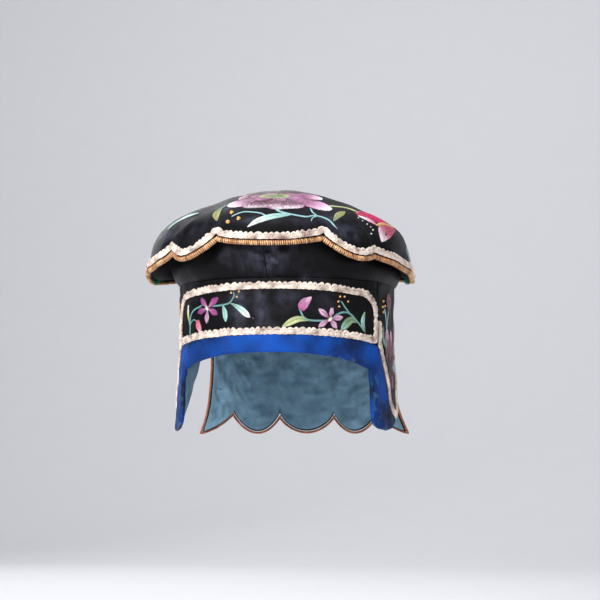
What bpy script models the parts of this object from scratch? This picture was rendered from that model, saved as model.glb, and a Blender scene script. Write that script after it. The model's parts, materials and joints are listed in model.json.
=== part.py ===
"""A child's black satin hat: a seamed crown under a scalloped lid, with ear flaps and a neck flap.

The frame is +Z up and the face opening looks along -Y. The origin is where the head bears against
the inside of the crown. Sizes are in millimetres and angles in degrees, and the objects that they
make are in metres. A turn is counted round the head from the front, positive towards +X.
"""

import math
from collections import namedtuple

import bmesh
import bpy
from mathutils import Vector

MM = 0.001

Bend = namedtuple("Bend", "arc slope")
Ring = namedtuple("Ring", "height radius")
Scallop = namedtuple("Scallop", "start end start_reach end_reach swell steps")
Hem = namedtuple("Hem", "turn height")
Reach = namedtuple("Reach", "turn height")
Edge = namedtuple("Edge", "across height")

# The head's oval: how squarely it turns, and how much longer than wide it is away from the apex.
SQUARENESS = 0.91
LONGER = 10.0
LONGER_FROM = 45.0
LEAN = -4.2
LEAN_RISE = 40.0

CLOTH = 2.5
GAP = 0.35

# The lid: a dome whose border hangs over the crown, cut into lobes along its edge.
LID_TOP = 5.0
LID_CLOTH = 2.0
LID_TWIST = 5.0
LID_PUFF = 2.0
PUFF_FROM = 70.0
PUFF_FULL = 120.0
LID_BENDS = (
    Bend(0, 0),
    Bend(20, 11.5),
    Bend(45, 21),
    Bend(73, 26),
    Bend(87, 38),
    Bend(98, 67),
    Bend(106, 77),
    Bend(134, 84),
)
LID_SCALLOPS = (
    Scallop(0.0, 21.5, 108.5, 103.5, 0.0, 5),
    Scallop(21.5, 47.0, 103.5, 114.5, 7.5, 7),
    Scallop(47.0, 90.0, 114.5, 125.0, 1.0, 7),
)
LID_ARCS = (0, 22, 45, 66, 80)
LID_BORDER_ROWS = (0.22, 0.42, 0.7, 1.0)

# The crown: two halves sewn along the middle, standing up under the lid and tucked in at the band.
CROWN_TOP = CLOTH
CROWN_BENDS = (
    Bend(0, 0),
    Bend(20, 11.5),
    Bend(45, 21),
    Bend(75, 27),
    Bend(96, 90),
    Bend(113, 92),
    Bend(127, 136),
)
CROWN_ARCS = (0, 22, 45, 66, 80, 88, 97, 113, 120, 127)
CROWN_STEPS = 18

# The band and the flaps hang from the crown's lower edge.
BAND_TOP = -65.0
WALL_RINGS = (Ring(-60, 76.4), Ring(-78, 75.8), Ring(-117, 75.4), Ring(-130, 76.2), Ring(-170, 79.0))
PANEL_TURN = 66.0
FACE_TURN = 58.0
RIM_HEIGHT = -115.5
RIM_DROP = 10.5
BINDING_TOP = -103.8
BINDING_TOP_DROP = 5.5
BINDING_CLOTH = 3.2
BINDING_PROUD = 0.3
FOLD_START = 0.8
FOLD_OUTER = 0.5
FOLD_INNER = 1.1
PANEL_STEPS = 22

# The ear flap's lower outline, from the face opening round to the slit behind the ear.
EAR_BINDING_TURN = 64.5
EAR_BINDING_REACH = (
    Reach(64.5, 56.0), Reach(67, 54.4), Reach(70, 47.2), Reach(73, 34.7), Reach(76.5, 16.4), Reach(80, 9.0),
    Reach(83, 2.5),
)
EAR_CLOTH = 1.6
LINING_CLOTH = 1.0
EAR_HEM = (
    Hem(58, -160.5), Hem(60, -164.0), Hem(64, -166.5), Hem(72, -167.5), Hem(80, -165.5), Hem(88, -159.0),
    Hem(95, -147.0), Hem(104, -125.0), Hem(112, -99.0), Hem(118, -76.0),
)
EAR_UPRIGHT_TURNS = (58.3, 60, 62.2, 64.4)
EAR_BOUND_TURNS = (64.9, 67, 70, 73, 76.5, 80, 83)
EAR_OPEN_TURNS = (84, 87, 91, 95, 99.5, 104, 108, 112, 118)
EAR_LINING_INSET = 1.5

# The neck flap: a wide fan that starts on the oval behind the ears and flares at its foot.
NECK_TURN = 60.0
NECK_HALF_WIDTH = 78.5
NECK_DEPTH = 92.0
NECK_BOW = 18.0
NECK_FOOT = -168.0
NECK_FLARE = 4.0
NECK_LINING_INSET = 1.2
NECK_ROWS = (0.0, 0.3, 0.53, 0.7, 0.82, 0.92, 1.0)
NECK_SCALLOPS = (
    Scallop(0.0, 0.25, -165.5, -152.0, 0.0, 4),
    Scallop(0.25, 0.72, -152.0, -150.5, -14.5, 8),
    Scallop(0.72, 1.0, -150.5, -166.0, -2.0, 4),
)

# The trims.
LID_CORD = 3.6
NECK_CORD = 1.9
CORD_SIDES = 6
BRAID_WIDTH = 4.8
BRAID_THICK = 1.2
BRAID_INSET = 0.9
LID_BRAID_GAP = 0.6
NECK_CORD_START = 6.0
PANEL_BRAID_SIDE = 3.5
PANEL_BRAID_TOP = -70.2
PANEL_BRAID_TOP_DROP = 3.2
PANEL_BRAID_FOOT = -101.0
PANEL_BRAID_FOOT_DROP = 4.5
PANEL_CORNER = 13.0
PANEL_CORNER_LENGTH = 1.4
EAR_BRAID_TOP = -92.0
EAR_BRAID_INSET = 0.6
TUFT = Vector((2.0, 3.6, 3.4))

BLACK_SATIN = ("black_satin", (0.012, 0.011, 0.016), 0.42, 0.0)
BLUE_SILK = ("blue_silk", (0.0, 0.10, 0.62), 0.45, 0.0)
PALE_BLUE = ("pale_blue_lining", (0.30, 0.50, 0.66), 0.7, 0.0)
CREAM = ("cream_braid", (0.84, 0.74, 0.66), 0.75, 0.0)
GOLD = ("gold_wrapped_cord", (0.80, 0.46, 0.20), 0.35, 0.75)
GREEN = ("green_silk", (0.04, 0.20, 0.17), 0.6, 0.0)


def clear_scene():
    """Take out whatever the file opened with."""
    for old in list(bpy.data.objects):
        bpy.data.objects.remove(old, do_unlink=True)


def material(name, colour, roughness, metallic):
    """The named finish, made once."""
    made = bpy.data.materials.get(name)
    if made is None:
        made = bpy.data.materials.new(name)
        made.use_nodes = True
        shader = made.node_tree.nodes["Principled BSDF"]
        shader.inputs["Base Color"].default_value = (*colour, 1.0)
        shader.inputs["Roughness"].default_value = roughness
        shader.inputs["Metallic"].default_value = metallic
    return made


def mix(a, b, share):
    """The value a share of the way from a to b."""
    return a + (b - a) * share


def ease(share):
    """A smooth step from 0 to 1."""
    share = min(1.0, max(0.0, share))
    return share * share * (3 - 2 * share)


def read(rows, where):
    """The second column of a table of two columns, read between its rows."""
    for before, after in zip(rows, rows[1:]):
        low, high = min(before[0], after[0]), max(before[0], after[0])
        if low <= where <= high:
            return mix(before[1], after[1], (where - before[0]) / (after[0] - before[0]))
    nearest = min(rows, key=lambda row: abs(row[0] - where))
    return nearest[1]


def trace(bends, top, arc):
    """Radius, height and slope at an arc length from the apex, by adding up a table of slopes."""
    steps = max(1, round(arc))
    length = arc / steps
    radius, height = 0.0, top
    for step in range(steps):
        slope = math.radians(read(bends, (step + 0.5) * length))
        radius += length * math.cos(slope)
        height -= length * math.sin(slope)
    return radius, height, math.radians(read(bends, arc))


def signed_power(value, power):
    """The power of a value's size, with the value's sign."""
    return math.copysign(abs(value) ** power, value)


def plan(radius, turn):
    """The point of the head's oval at a radius to the side and a turn from the front."""
    longer = LONGER * (1 - math.exp(-((radius / LONGER_FROM) ** 2)))
    angle = math.radians(turn)
    across = radius * signed_power(math.sin(angle), SQUARENESS)
    along = -(radius + longer) * signed_power(math.cos(angle), SQUARENESS)
    return across, along


def lid_surface(turn, arc, lift):
    """A point on the lid, lifted off its outer face, with each lobe puffed out between its cusps."""
    radius, height, slope = trace(LID_BENDS, LID_TOP, arc)
    puff = LID_PUFF * lobe_share(turn) * ease((arc - PUFF_FROM) / (PUFF_FULL - PUFF_FROM))
    radius += (lift + puff) * math.sin(slope)
    height += lift * math.cos(slope)
    x, y = plan(radius, turn)
    return Vector((x + LEAN, y, height))


def crown_surface(turn, arc, lift):
    """A point on the crown, which leans a little to one side above the band."""
    radius, height, slope = trace(CROWN_BENDS, CROWN_TOP, arc)
    x, y = plan(radius + lift * math.sin(slope), turn)
    height += lift * math.cos(slope)
    return Vector((x + LEAN * ease((height - BAND_TOP) / LEAN_RISE), y, height))


def wall_surface(turn, height, lift):
    """A point on the band or an ear flap, lifted off its outer face."""
    x, y = plan(read(WALL_RINGS, height) + lift, turn)
    return Vector((x, y, height))


def neck_point(across, height):
    """A point on the neck flap's outer face: across runs from -1 to 1 between its side edges."""
    top_x, top_y = plan(read(WALL_RINGS, BAND_TOP), 180 - NECK_TURN * across)
    foot_x, foot_y = NECK_HALF_WIDTH * across, NECK_DEPTH - NECK_BOW * across**2
    down = (BAND_TOP - height) / (BAND_TOP - NECK_FOOT)
    down = min(1.05, max(0.0, down))
    return Vector((mix(top_x, foot_x, down**NECK_FLARE), mix(top_y, foot_y, down), height))


def neck_surface(across, height, lift):
    """A point on the neck flap, lifted off its outer face along the face's own direction."""
    small = 0.02
    side = neck_point(across + small, height) - neck_point(across - small, height)
    fall = neck_point(across, height - 1) - neck_point(across, height + 1)
    return neck_point(across, height) + lift * side.cross(fall).normalized()


def scallop_reach(scallops, where):
    """How far an outline reaches, with a rounded lobe between each pair of cusps."""
    for s in scallops:
        if s.start <= where <= s.end:
            share = (where - s.start) / (s.end - s.start)
            if s.start == scallops[0].start and s.swell == 0:
                return mix(s.end_reach, s.start_reach, math.cos(share * math.pi / 2) ** 0.6)
            return mix(s.start_reach, s.end_reach, share) + s.swell * math.sin(share * math.pi) ** 0.8
    return scallops[-1].end_reach


def lid_half_turn(turn):
    """The turn on the lid's own pattern, folded into its front right quarter."""
    folded = abs((turn - LID_TWIST + 180) % 360 - 180)
    return min(folded, 180 - folded)


def lid_reach(turn):
    """The arc length from the lid's apex to its edge."""
    return scallop_reach(LID_SCALLOPS, lid_half_turn(turn))


def lobe_share(turn):
    """0 at a cusp or a wing's tip, and 1 at the middle of a lobe."""
    folded = lid_half_turn(turn)
    for s in LID_SCALLOPS:
        if s.start <= folded <= s.end:
            share = (folded - s.start) / (s.end - s.start)
            return math.cos(share * math.pi / 2) if s.start == 0 else math.sin(share * math.pi)
    return 0.0


def spread(start, end, steps):
    """Evenly spaced values from start up to, and not including, end."""
    return [mix(start, end, step / steps) for step in range(steps)]


def lid_turns():
    """The turns of the lid's columns, with one on every cusp and tip."""
    quarter = [turn for s in LID_SCALLOPS for turn in spread(s.start, s.end, s.steps)]
    half = quarter + [90.0] + [180 - turn for turn in quarter[:0:-1]]
    return [LID_TWIST + turn for turn in half] + [LID_TWIST + 180 + turn for turn in half]


def neck_foot(across):
    """The height of the neck flap's scalloped lower edge."""
    return scallop_reach(NECK_SCALLOPS, abs(across))


def neck_columns():
    """Places across the neck flap, with one on every cusp."""
    half = [place for s in NECK_SCALLOPS for place in spread(s.start, s.end, s.steps)] + [1.0]
    return [-place for place in half[:0:-1]] + half


def rim_height(turn):
    """The arched lower edge of the face opening."""
    return RIM_HEIGHT - RIM_DROP * (abs(turn) / FACE_TURN) ** 2.2


def binding_top(turn):
    """Where the blue binding meets the panel above it."""
    return BINDING_TOP - BINDING_TOP_DROP * (abs(turn) / FACE_TURN) ** 2


def sweep(name, loops, finish, closed=False):
    """One solid through a row of section loops, each with an even number of points.

    A row that doesn't close on itself is capped at its two ends, joining each point of the end loop
    to the one across the wall from it.
    """
    size = len(loops[0])
    points = [point * MM for loop in loops for point in loop]
    faces = []
    for column in range(len(loops) if closed else len(loops) - 1):
        here, there = column * size, (column + 1) % len(loops) * size
        for row in range(size):
            after = (row + 1) % size
            faces.append((here + row, here + after, there + after, there + row))
    if not closed:
        for base in (0, (len(loops) - 1) * size):
            for row in range(size // 2 - 1):
                faces.append((base + row, base + row + 1, base + size - 2 - row, base + size - 1 - row))
    mesh = bpy.data.meshes.new(name)
    mesh.from_pydata(points, [], faces)
    shape = bmesh.new()
    shape.from_mesh(mesh)
    bmesh.ops.remove_doubles(shape, verts=shape.verts, dist=1e-6)
    bmesh.ops.triangulate(shape, faces=shape.faces)
    bmesh.ops.recalc_face_normals(shape, faces=shape.faces)
    shape.to_mesh(mesh)
    shape.free()
    mesh.shade_smooth()
    mesh.set_sharp_from_angle(angle=math.radians(40))
    made = bpy.data.objects.new(name, mesh)
    mesh.materials.append(material(*finish))
    bpy.context.scene.collection.objects.link(made)
    return made


def wall_loop(surface, column, rows, outer, inner):
    """A section through a wall: down its outer face and back up its inner one."""
    down = [surface(column, row, outer) for row in rows]
    up = [surface(column, row, inner) for row in reversed(rows)]
    return down + up


def levels(top, foot, count):
    """Row places from top to foot."""
    return [mix(top, foot, row / count) for row in range(count + 1)]


def metric(surface, place):
    """Millimetres on a surface for each unit of its two coordinates."""
    across, along = place
    small = 0.01
    here = surface(across, along, 0)
    wide = (surface(across + small, along, 0) - here).length / small
    tall = (surface(across, along + small, 0) - here).length / small
    return wide, tall


def flat_direction(start, end, scale):
    """The unit step between two places on a surface, measured flat in millimetres."""
    turned = (end[0] - start[0] + 180) % 360 - 180
    step = Vector((turned * scale[0], (end[1] - start[1]) * scale[1]))
    return step.normalized()


def beside(surface, path, distance, closed):
    """The path moved sideways on its surface, to the left of its travel, with mitred corners."""
    moved = []
    for index, place in enumerate(path):
        scale = metric(surface, place)
        before = path[index - 1] if index or closed else None
        after = path[(index + 1) % len(path)] if index + 1 < len(path) or closed else None
        into = flat_direction(before, place, scale) if before else None
        out = flat_direction(place, after, scale) if after else None
        into, out = into or out, out or into
        left = Vector((-into.y - out.y, into.x + out.x)).normalized()
        mitre = distance / max(0.35, left.dot(Vector((-into.y, into.x))))
        moved.append((place[0] + left.x * mitre / scale[0], place[1] + left.y * mitre / scale[1]))
    return moved


def ribbon(name, surface, path, gap=GAP, closed=True):
    """A flat cream braid laid on a surface along a path, a small gap above the cloth."""
    left = beside(surface, path, BRAID_WIDTH / 2, closed)
    right = beside(surface, path, -BRAID_WIDTH / 2, closed)
    loops = []
    for (la, lb), (ra, rb) in zip(left, right):
        low, high = gap, gap + BRAID_THICK
        up = [surface(la, lb, low), surface(la, lb, high)]
        loops.append([*up, surface(ra, rb, high), surface(ra, rb, low)])
    return sweep(name, loops, CREAM, closed)


def cord(name, surface, path, thickness, lift, finish, closed):
    """A round cord whose middle follows a path at a lift from the surface."""
    radius = thickness / 2
    side = beside(surface, path, radius, closed)
    loops = []
    for place, place_beside in zip(path, side):
        middle = surface(*place, lift)
        across = surface(*place_beside, lift) - middle
        rise = (surface(*place, lift + 1) - middle).normalized() * radius
        angles = [math.tau * k / CORD_SIDES for k in range(CORD_SIDES)]
        loops.append([middle + across * math.cos(angle) + rise * math.sin(angle) for angle in angles])
    return sweep(name, loops, finish, closed)


def build_crown():
    """Two halves, cut a hair apart along the middle seam."""
    for name, side in (("crown_left", 1), ("crown_right", -1)):
        loops = []
        for turn in levels(0, 180, CROWN_STEPS):
            loop = wall_loop(crown_surface, side * turn, CROWN_ARCS, 0, -CLOTH)
            for point in loop:
                middle = LEAN * ease((point.z - BAND_TOP) / LEAN_RISE)
                if side * (point.x - middle) < GAP / 2:
                    point.x = middle + side * GAP / 2
            loops.append(loop)
        sweep(name, loops, BLACK_SATIN)


def build_lid():
    """The domed lid, one cloth from its apex to its scalloped edge, with its braid and cord."""
    turns = lid_turns()
    loops = []
    for turn in turns:
        border = [mix(LID_ARCS[-1], lid_reach(turn), share) for share in LID_BORDER_ROWS]
        loops.append(wall_loop(lid_surface, turn, [*LID_ARCS, *border], 0, -LID_CLOTH))
    sweep("lid", loops, BLACK_SATIN, closed=True)
    edge = [(turn, lid_reach(turn)) for turn in turns]
    braid = beside(lid_surface, edge, -(BRAID_INSET + BRAID_WIDTH / 2), True)
    ribbon("lid_braid", lid_surface, braid, LID_BRAID_GAP)
    outside = beside(lid_surface, edge, LID_CORD / 2 + GAP, True)
    cord("lid_cord", lid_surface, outside, LID_CORD, -LID_CLOTH / 2, GOLD, True)


def build_tufts():
    """A small green silk tuft sewn under each side tip of the lid."""
    for name, tip in (("tuft_left", 90.0 + LID_TWIST), ("tuft_right", -90.0 + LID_TWIST)):
        centre = lid_surface(tip, lid_reach(tip) - TUFT.z, -LID_CLOTH - GAP - TUFT.x)
        shape = bmesh.new()
        bmesh.ops.create_icosphere(shape, subdivisions=2, radius=1.0)
        for vertex in shape.verts:
            vertex.co = (centre + Vector([vertex.co[k] * TUFT[k] for k in range(3)])) * MM
        mesh = bpy.data.meshes.new(name)
        shape.to_mesh(mesh)
        shape.free()
        mesh.shade_smooth()
        mesh.materials.append(material(*GREEN))
        bpy.context.scene.collection.objects.link(bpy.data.objects.new(name, mesh))


def folded_loop(surface, turn, rows, low):
    """A section through a binding, whose cloth folds round the edge that it covers."""
    loop = wall_loop(surface, turn, rows, BINDING_PROUD, BINDING_PROUD - BINDING_CLOTH)
    fold = [surface(turn, low, -FOLD_OUTER), surface(turn, low, FOLD_INNER - BINDING_CLOTH)]
    return loop[: len(rows)] + fold + loop[len(rows) :]


def build_front():
    """The forehead panel, its braid border and the blue binding below it."""
    top = BAND_TOP - GAP
    panel, binding = [], []
    for turn in levels(-EAR_BINDING_TURN, EAR_BINDING_TURN, PANEL_STEPS):
        rows = levels(top, binding_top(turn), 4)
        panel.append(wall_loop(wall_surface, turn, rows, 0, -CLOTH))
    for turn in levels(-FACE_TURN, FACE_TURN, PANEL_STEPS):
        high, low = binding_top(turn) - GAP, rim_height(turn)
        binding.append(folded_loop(wall_surface, turn, levels(high, low + FOLD_START, 2), low))
    sweep("front_panel", panel, BLACK_SATIN)
    sweep("forehead_binding", binding, BLUE_SILK)
    ribbon("panel_braid", wall_surface, panel_border())


def panel_border():
    """The middle of the braid round the forehead panel: square at the foot, rounded at the top."""
    side, corner = PANEL_TURN - PANEL_BRAID_SIDE, PANEL_CORNER
    degree = metric(wall_surface, (side, PANEL_BRAID_TOP))[0]
    foot = []
    for turn in levels(-side, side, 18):
        foot.append((turn, PANEL_BRAID_FOOT - PANEL_BRAID_FOOT_DROP * (turn / side) ** 2))
    rise = [(side, PANEL_BRAID_FOOT + corner / 2), (side, PANEL_BRAID_TOP - 1.5 * corner)]
    bend = []
    for step in range(7):
        angle = math.radians(15 * step)
        turn = side - (1 - math.cos(angle)) * corner * PANEL_CORNER_LENGTH / degree
        height = PANEL_BRAID_TOP - PANEL_BRAID_TOP_DROP - (1 - math.sin(angle)) * corner
        bend.append((turn, height))
    last = bend[-1][0]
    top = []
    for turn in levels(last, -last, 14):
        top.append((turn, PANEL_BRAID_TOP - PANEL_BRAID_TOP_DROP * (turn / last) ** 2))
    left_bend = [(-turn, height) for turn, height in bend[::-1]]
    left_rise = [(-turn, height) for turn, height in rise[::-1]]
    return foot + rise + bend + top[1:-1] + left_bend + left_rise


def ear_hem(turn):
    """The height of the ear flap's lower outline."""
    return read(EAR_HEM, turn)


def binding_width(turn):
    """How far up from an ear flap's foot the binding reaches, less and less towards its end."""
    return read(EAR_BINDING_REACH, turn)


def satin_hem(turn):
    """Where the ear flap's satin ends, above the blue binding where there is one."""
    if turn < EAR_OPEN_TURNS[0]:
        return ear_hem(turn) + binding_width(turn) + GAP
    return ear_hem(turn)


def ear_border(face):
    """The middle of the braid beside an ear flap's binding and on round its hem."""
    turns = EAR_BOUND_TURNS[:-1] + EAR_OPEN_TURNS[1:]
    edge = [(turns[0], EAR_BRAID_TOP)] + [(turn, satin_hem(turn)) for turn in turns]
    return beside(face, edge, BRAID_WIDTH / 2 + EAR_BRAID_INSET, False)


def build_ears():
    """An ear flap on each side: satin, pale lining, blue binding and braid."""
    top = BAND_TOP - GAP
    for side_name, side in (("left", 1), ("right", -1)):

        def face(turn, height, lift, side=side):
            return wall_surface(side * turn, height, lift)

        satin, lining = [], []
        for turn in EAR_BOUND_TURNS + EAR_OPEN_TURNS:
            rows = levels(top, satin_hem(turn), 5)
            satin.append(wall_loop(face, turn, rows, 0, -EAR_CLOTH))
            rows = [top - 1, *rows[1:-1], rows[-1] + EAR_LINING_INSET]
            inner = -EAR_CLOTH - GAP
            lining.append(wall_loop(face, turn, rows, inner, inner - LINING_CLOTH))
        sweep(f"ear_flap_{side_name}", satin, BLACK_SATIN)
        sweep(f"ear_lining_{side_name}", lining, PALE_BLUE)
        sweep(f"ear_binding_{side_name}", ear_binding_loops(face), BLUE_SILK)
        ribbon(f"ear_braid_{side_name}", face, ear_border(face), closed=False)


def ear_binding_loops(face):
    """Sections of the binding that runs down the face opening and round the flap's foot."""
    loops = []
    for turn in EAR_UPRIGHT_TURNS + EAR_BOUND_TURNS:
        low = ear_hem(turn)
        high = binding_top(turn) - GAP if turn < EAR_BINDING_TURN else low + binding_width(turn)
        loops.append(folded_loop(face, turn, levels(high, low + FOLD_START, 5), low))
    return loops


def build_neck():
    """The neck flap: satin, pale lining and the cord that edges its sides and scalloped foot."""
    top = BAND_TOP - GAP
    satin, lining = [], []
    for across in neck_columns():
        rows = [mix(top, neck_foot(across), share) for share in NECK_ROWS]
        satin.append(wall_loop(neck_surface, across, rows, 0, -EAR_CLOTH))
        inner = -EAR_CLOTH - GAP
        rows = [top - 1, *rows[1:-1], rows[-1] + NECK_LINING_INSET]
        lining.append(wall_loop(neck_surface, across, rows, inner, inner - LINING_CLOTH))
    sweep("neck_flap", satin, BLACK_SATIN)
    sweep("neck_lining", lining, PALE_BLUE)
    left = [(-1.0, mix(top, neck_foot(1), share)) for share in NECK_ROWS[1:-1]]
    foot = [(across, neck_foot(across)) for across in neck_columns()]
    right = [(1.0, height) for _, height in left[::-1]]
    start = top - NECK_CORD_START
    edge = [(-1.0, start), *left, *foot, *right, (1.0, start)]
    outside = beside(neck_surface, edge, -(NECK_CORD / 2 + GAP), False)
    cord("neck_cord", neck_surface, outside, NECK_CORD, -EAR_CLOTH / 2, GOLD, False)


def main():
    """Build every piece of the hat."""
    clear_scene()
    build_crown()
    build_lid()
    build_tufts()
    build_front()
    build_ears()
    build_neck()


if __name__ == "__main__":
    main()
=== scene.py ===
"""A child's black satin hat, dressed in its cloths, trims and silk embroidery.

The construction model gives each piece its place. The cloths here follow the same faces: a domed lid,
a seamed crown, a band with its ear flaps and a neck flap. Sizes are in millimetres and angles in
degrees until a mesh is made, and a mesh is in metres.
"""

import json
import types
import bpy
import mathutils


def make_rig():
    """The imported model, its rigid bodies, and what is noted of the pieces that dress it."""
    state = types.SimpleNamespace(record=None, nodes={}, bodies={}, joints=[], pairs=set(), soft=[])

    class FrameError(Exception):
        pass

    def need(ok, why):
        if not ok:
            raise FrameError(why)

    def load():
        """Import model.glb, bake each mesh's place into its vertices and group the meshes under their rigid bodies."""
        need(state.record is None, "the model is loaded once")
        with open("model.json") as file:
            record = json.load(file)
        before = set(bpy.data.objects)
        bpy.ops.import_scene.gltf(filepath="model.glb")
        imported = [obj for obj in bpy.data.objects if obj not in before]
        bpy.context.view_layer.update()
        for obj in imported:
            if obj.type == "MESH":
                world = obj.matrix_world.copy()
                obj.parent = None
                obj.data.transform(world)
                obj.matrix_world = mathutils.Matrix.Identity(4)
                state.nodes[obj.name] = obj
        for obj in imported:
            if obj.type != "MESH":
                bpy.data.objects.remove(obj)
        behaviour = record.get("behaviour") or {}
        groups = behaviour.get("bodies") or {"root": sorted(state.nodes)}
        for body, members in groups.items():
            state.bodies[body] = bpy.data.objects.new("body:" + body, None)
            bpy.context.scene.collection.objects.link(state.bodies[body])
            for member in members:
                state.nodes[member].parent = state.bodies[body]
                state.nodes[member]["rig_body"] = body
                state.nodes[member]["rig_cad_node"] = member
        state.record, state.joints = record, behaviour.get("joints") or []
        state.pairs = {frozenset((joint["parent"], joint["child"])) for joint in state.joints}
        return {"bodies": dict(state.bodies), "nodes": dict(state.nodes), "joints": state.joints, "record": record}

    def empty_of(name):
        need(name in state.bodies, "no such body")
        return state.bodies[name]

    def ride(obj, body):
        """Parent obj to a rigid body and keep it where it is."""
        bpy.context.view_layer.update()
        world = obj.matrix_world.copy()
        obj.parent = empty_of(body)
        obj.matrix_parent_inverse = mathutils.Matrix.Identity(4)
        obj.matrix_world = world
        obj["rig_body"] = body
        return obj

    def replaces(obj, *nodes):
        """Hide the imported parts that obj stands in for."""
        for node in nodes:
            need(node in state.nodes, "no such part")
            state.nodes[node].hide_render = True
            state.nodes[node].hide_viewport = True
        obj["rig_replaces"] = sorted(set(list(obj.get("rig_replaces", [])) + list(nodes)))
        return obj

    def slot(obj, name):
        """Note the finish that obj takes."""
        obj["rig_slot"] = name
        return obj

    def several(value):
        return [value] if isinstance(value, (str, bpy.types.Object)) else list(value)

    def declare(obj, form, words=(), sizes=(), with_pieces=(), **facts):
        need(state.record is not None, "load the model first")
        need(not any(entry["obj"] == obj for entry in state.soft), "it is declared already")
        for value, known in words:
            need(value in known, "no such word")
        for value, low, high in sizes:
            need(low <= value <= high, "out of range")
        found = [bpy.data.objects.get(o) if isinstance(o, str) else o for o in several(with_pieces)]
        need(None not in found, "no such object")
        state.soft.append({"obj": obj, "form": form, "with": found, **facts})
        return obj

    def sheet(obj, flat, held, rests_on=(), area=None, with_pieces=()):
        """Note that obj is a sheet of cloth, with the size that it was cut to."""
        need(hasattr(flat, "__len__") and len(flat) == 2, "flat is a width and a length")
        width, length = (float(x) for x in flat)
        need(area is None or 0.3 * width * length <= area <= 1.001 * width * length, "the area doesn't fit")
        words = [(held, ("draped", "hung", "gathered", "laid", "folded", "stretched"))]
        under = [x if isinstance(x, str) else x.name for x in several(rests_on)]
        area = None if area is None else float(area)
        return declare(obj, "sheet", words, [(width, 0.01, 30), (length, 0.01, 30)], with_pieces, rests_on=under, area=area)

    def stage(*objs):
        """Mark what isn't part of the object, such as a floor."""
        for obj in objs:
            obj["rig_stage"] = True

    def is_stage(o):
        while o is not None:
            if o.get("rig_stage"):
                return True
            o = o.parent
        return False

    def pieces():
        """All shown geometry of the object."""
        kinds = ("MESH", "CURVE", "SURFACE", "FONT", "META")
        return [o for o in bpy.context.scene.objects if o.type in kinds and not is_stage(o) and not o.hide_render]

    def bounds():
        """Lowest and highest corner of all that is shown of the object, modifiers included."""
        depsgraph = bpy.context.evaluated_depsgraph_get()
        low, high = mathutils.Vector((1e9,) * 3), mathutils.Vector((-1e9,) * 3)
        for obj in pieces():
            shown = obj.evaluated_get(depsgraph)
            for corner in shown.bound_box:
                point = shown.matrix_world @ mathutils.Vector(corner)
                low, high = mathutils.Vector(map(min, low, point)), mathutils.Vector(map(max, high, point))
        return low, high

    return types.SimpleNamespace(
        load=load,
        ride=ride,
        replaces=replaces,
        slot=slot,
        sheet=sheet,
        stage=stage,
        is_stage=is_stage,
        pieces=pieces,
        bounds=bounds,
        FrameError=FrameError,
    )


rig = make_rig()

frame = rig.load()

import json
import logging
import math
from abc import ABC, abstractmethod
from collections.abc import Callable, Sequence
from dataclasses import dataclass, field
from enum import Enum
from functools import cached_property, partial

import bmesh
import bpy
import numpy as np
from mathutils import Vector

MM = 0.001
CLOTH_MAP = "cloth"
THREAD_COLOUR = "thread_colour"
TAPER = "taper"
SIDE = "side"
RISE = "rise"
# The mesh attribute that marks painted sheen on the satin.
PAINTED_SHEEN = "rubbed"

log = logging.getLogger("hat")

Pair = tuple[float, float]
Place = tuple[float, float, float]
Colour = tuple[float, float, float]
Array = np.ndarray
Piece = bpy.types.Object
Socket = bpy.types.NodeSocket


def ease(share: Array) -> Array:
    """A smooth step from 0 to 1."""
    share = np.clip(share, 0.0, 1.0)
    return share * share * (3 - 2 * share)


def linear(red: float, green: float, blue: float) -> Colour:
    """A colour as the eye names it, turned into light."""
    return tuple(c / 12.92 if c <= 0.04045 else ((c + 0.055) / 1.055) ** 2.4 for c in (red, green, blue))


def signed_power(value: Array, power: float) -> Array:
    """The power of a value's size, with the value's sign."""
    return np.sign(value) * np.abs(value) ** power


def unit(vectors: Array) -> Array:
    """Each vector at length 1."""
    return vectors / np.maximum(np.linalg.norm(vectors, axis=-1, keepdims=True), 1e-9)


def walk(path: Array) -> Array:
    """The length of a path up to each of its points."""
    return np.concatenate([[0.0], np.cumsum(np.linalg.norm(np.diff(path, axis=0), axis=1))])


class Side(Enum):
    """The wearer's side that a paired piece is on."""

    LEFT = 1
    RIGHT = -1

    @property
    def word(self) -> str:
        """The side as piece names spell it."""
        return self.name.lower()


class Hold(Enum):
    """How a cloth is held."""

    DRAPED = "draped"
    HUNG = "hung"
    FOLDED = "folded"
    STRETCHED = "stretched"


class Fill(Enum):
    """How satin stitches lie in a shape."""

    ALONG = "along"
    ACROSS = "across"
    FEATHER = "feather"


@dataclass(frozen=True)
class Relief:
    """Soft unevenness of a cloth: seeded waves that cross each other.

    Attributes:
        height: The usual height of the waves in millimetres.
        length: The usual distance between waves in millimetres.
        seed: Which waves.
        count: How many waves cross.
        shortest: The shortest wave, as a share of the usual distance.
        longest: The longest wave, as a share of it.
    """

    height: float
    length: float
    seed: int
    count: int = 9
    shortest: float = 0.7
    longest: float = 1.6

    def read(self, u: Array, v: Array) -> Array:
        """The height at flat places.

        Args:
            u: Places across the flat cloth.
            v: Places up it.

        Returns:
            The heights.
        """
        draw = np.random.default_rng(self.seed)
        total = np.zeros(np.broadcast(u, v).shape)
        for _ in range(self.count):
            heading = draw.uniform(0, math.pi)
            pitch = math.tau / (self.length * draw.uniform(self.shortest, self.longest))
            phase = draw.uniform(0, math.tau)
            total += np.sin(pitch * (u * math.cos(heading) + v * math.sin(heading)) + phase)
        return total * self.height / math.sqrt(self.count)


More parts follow.
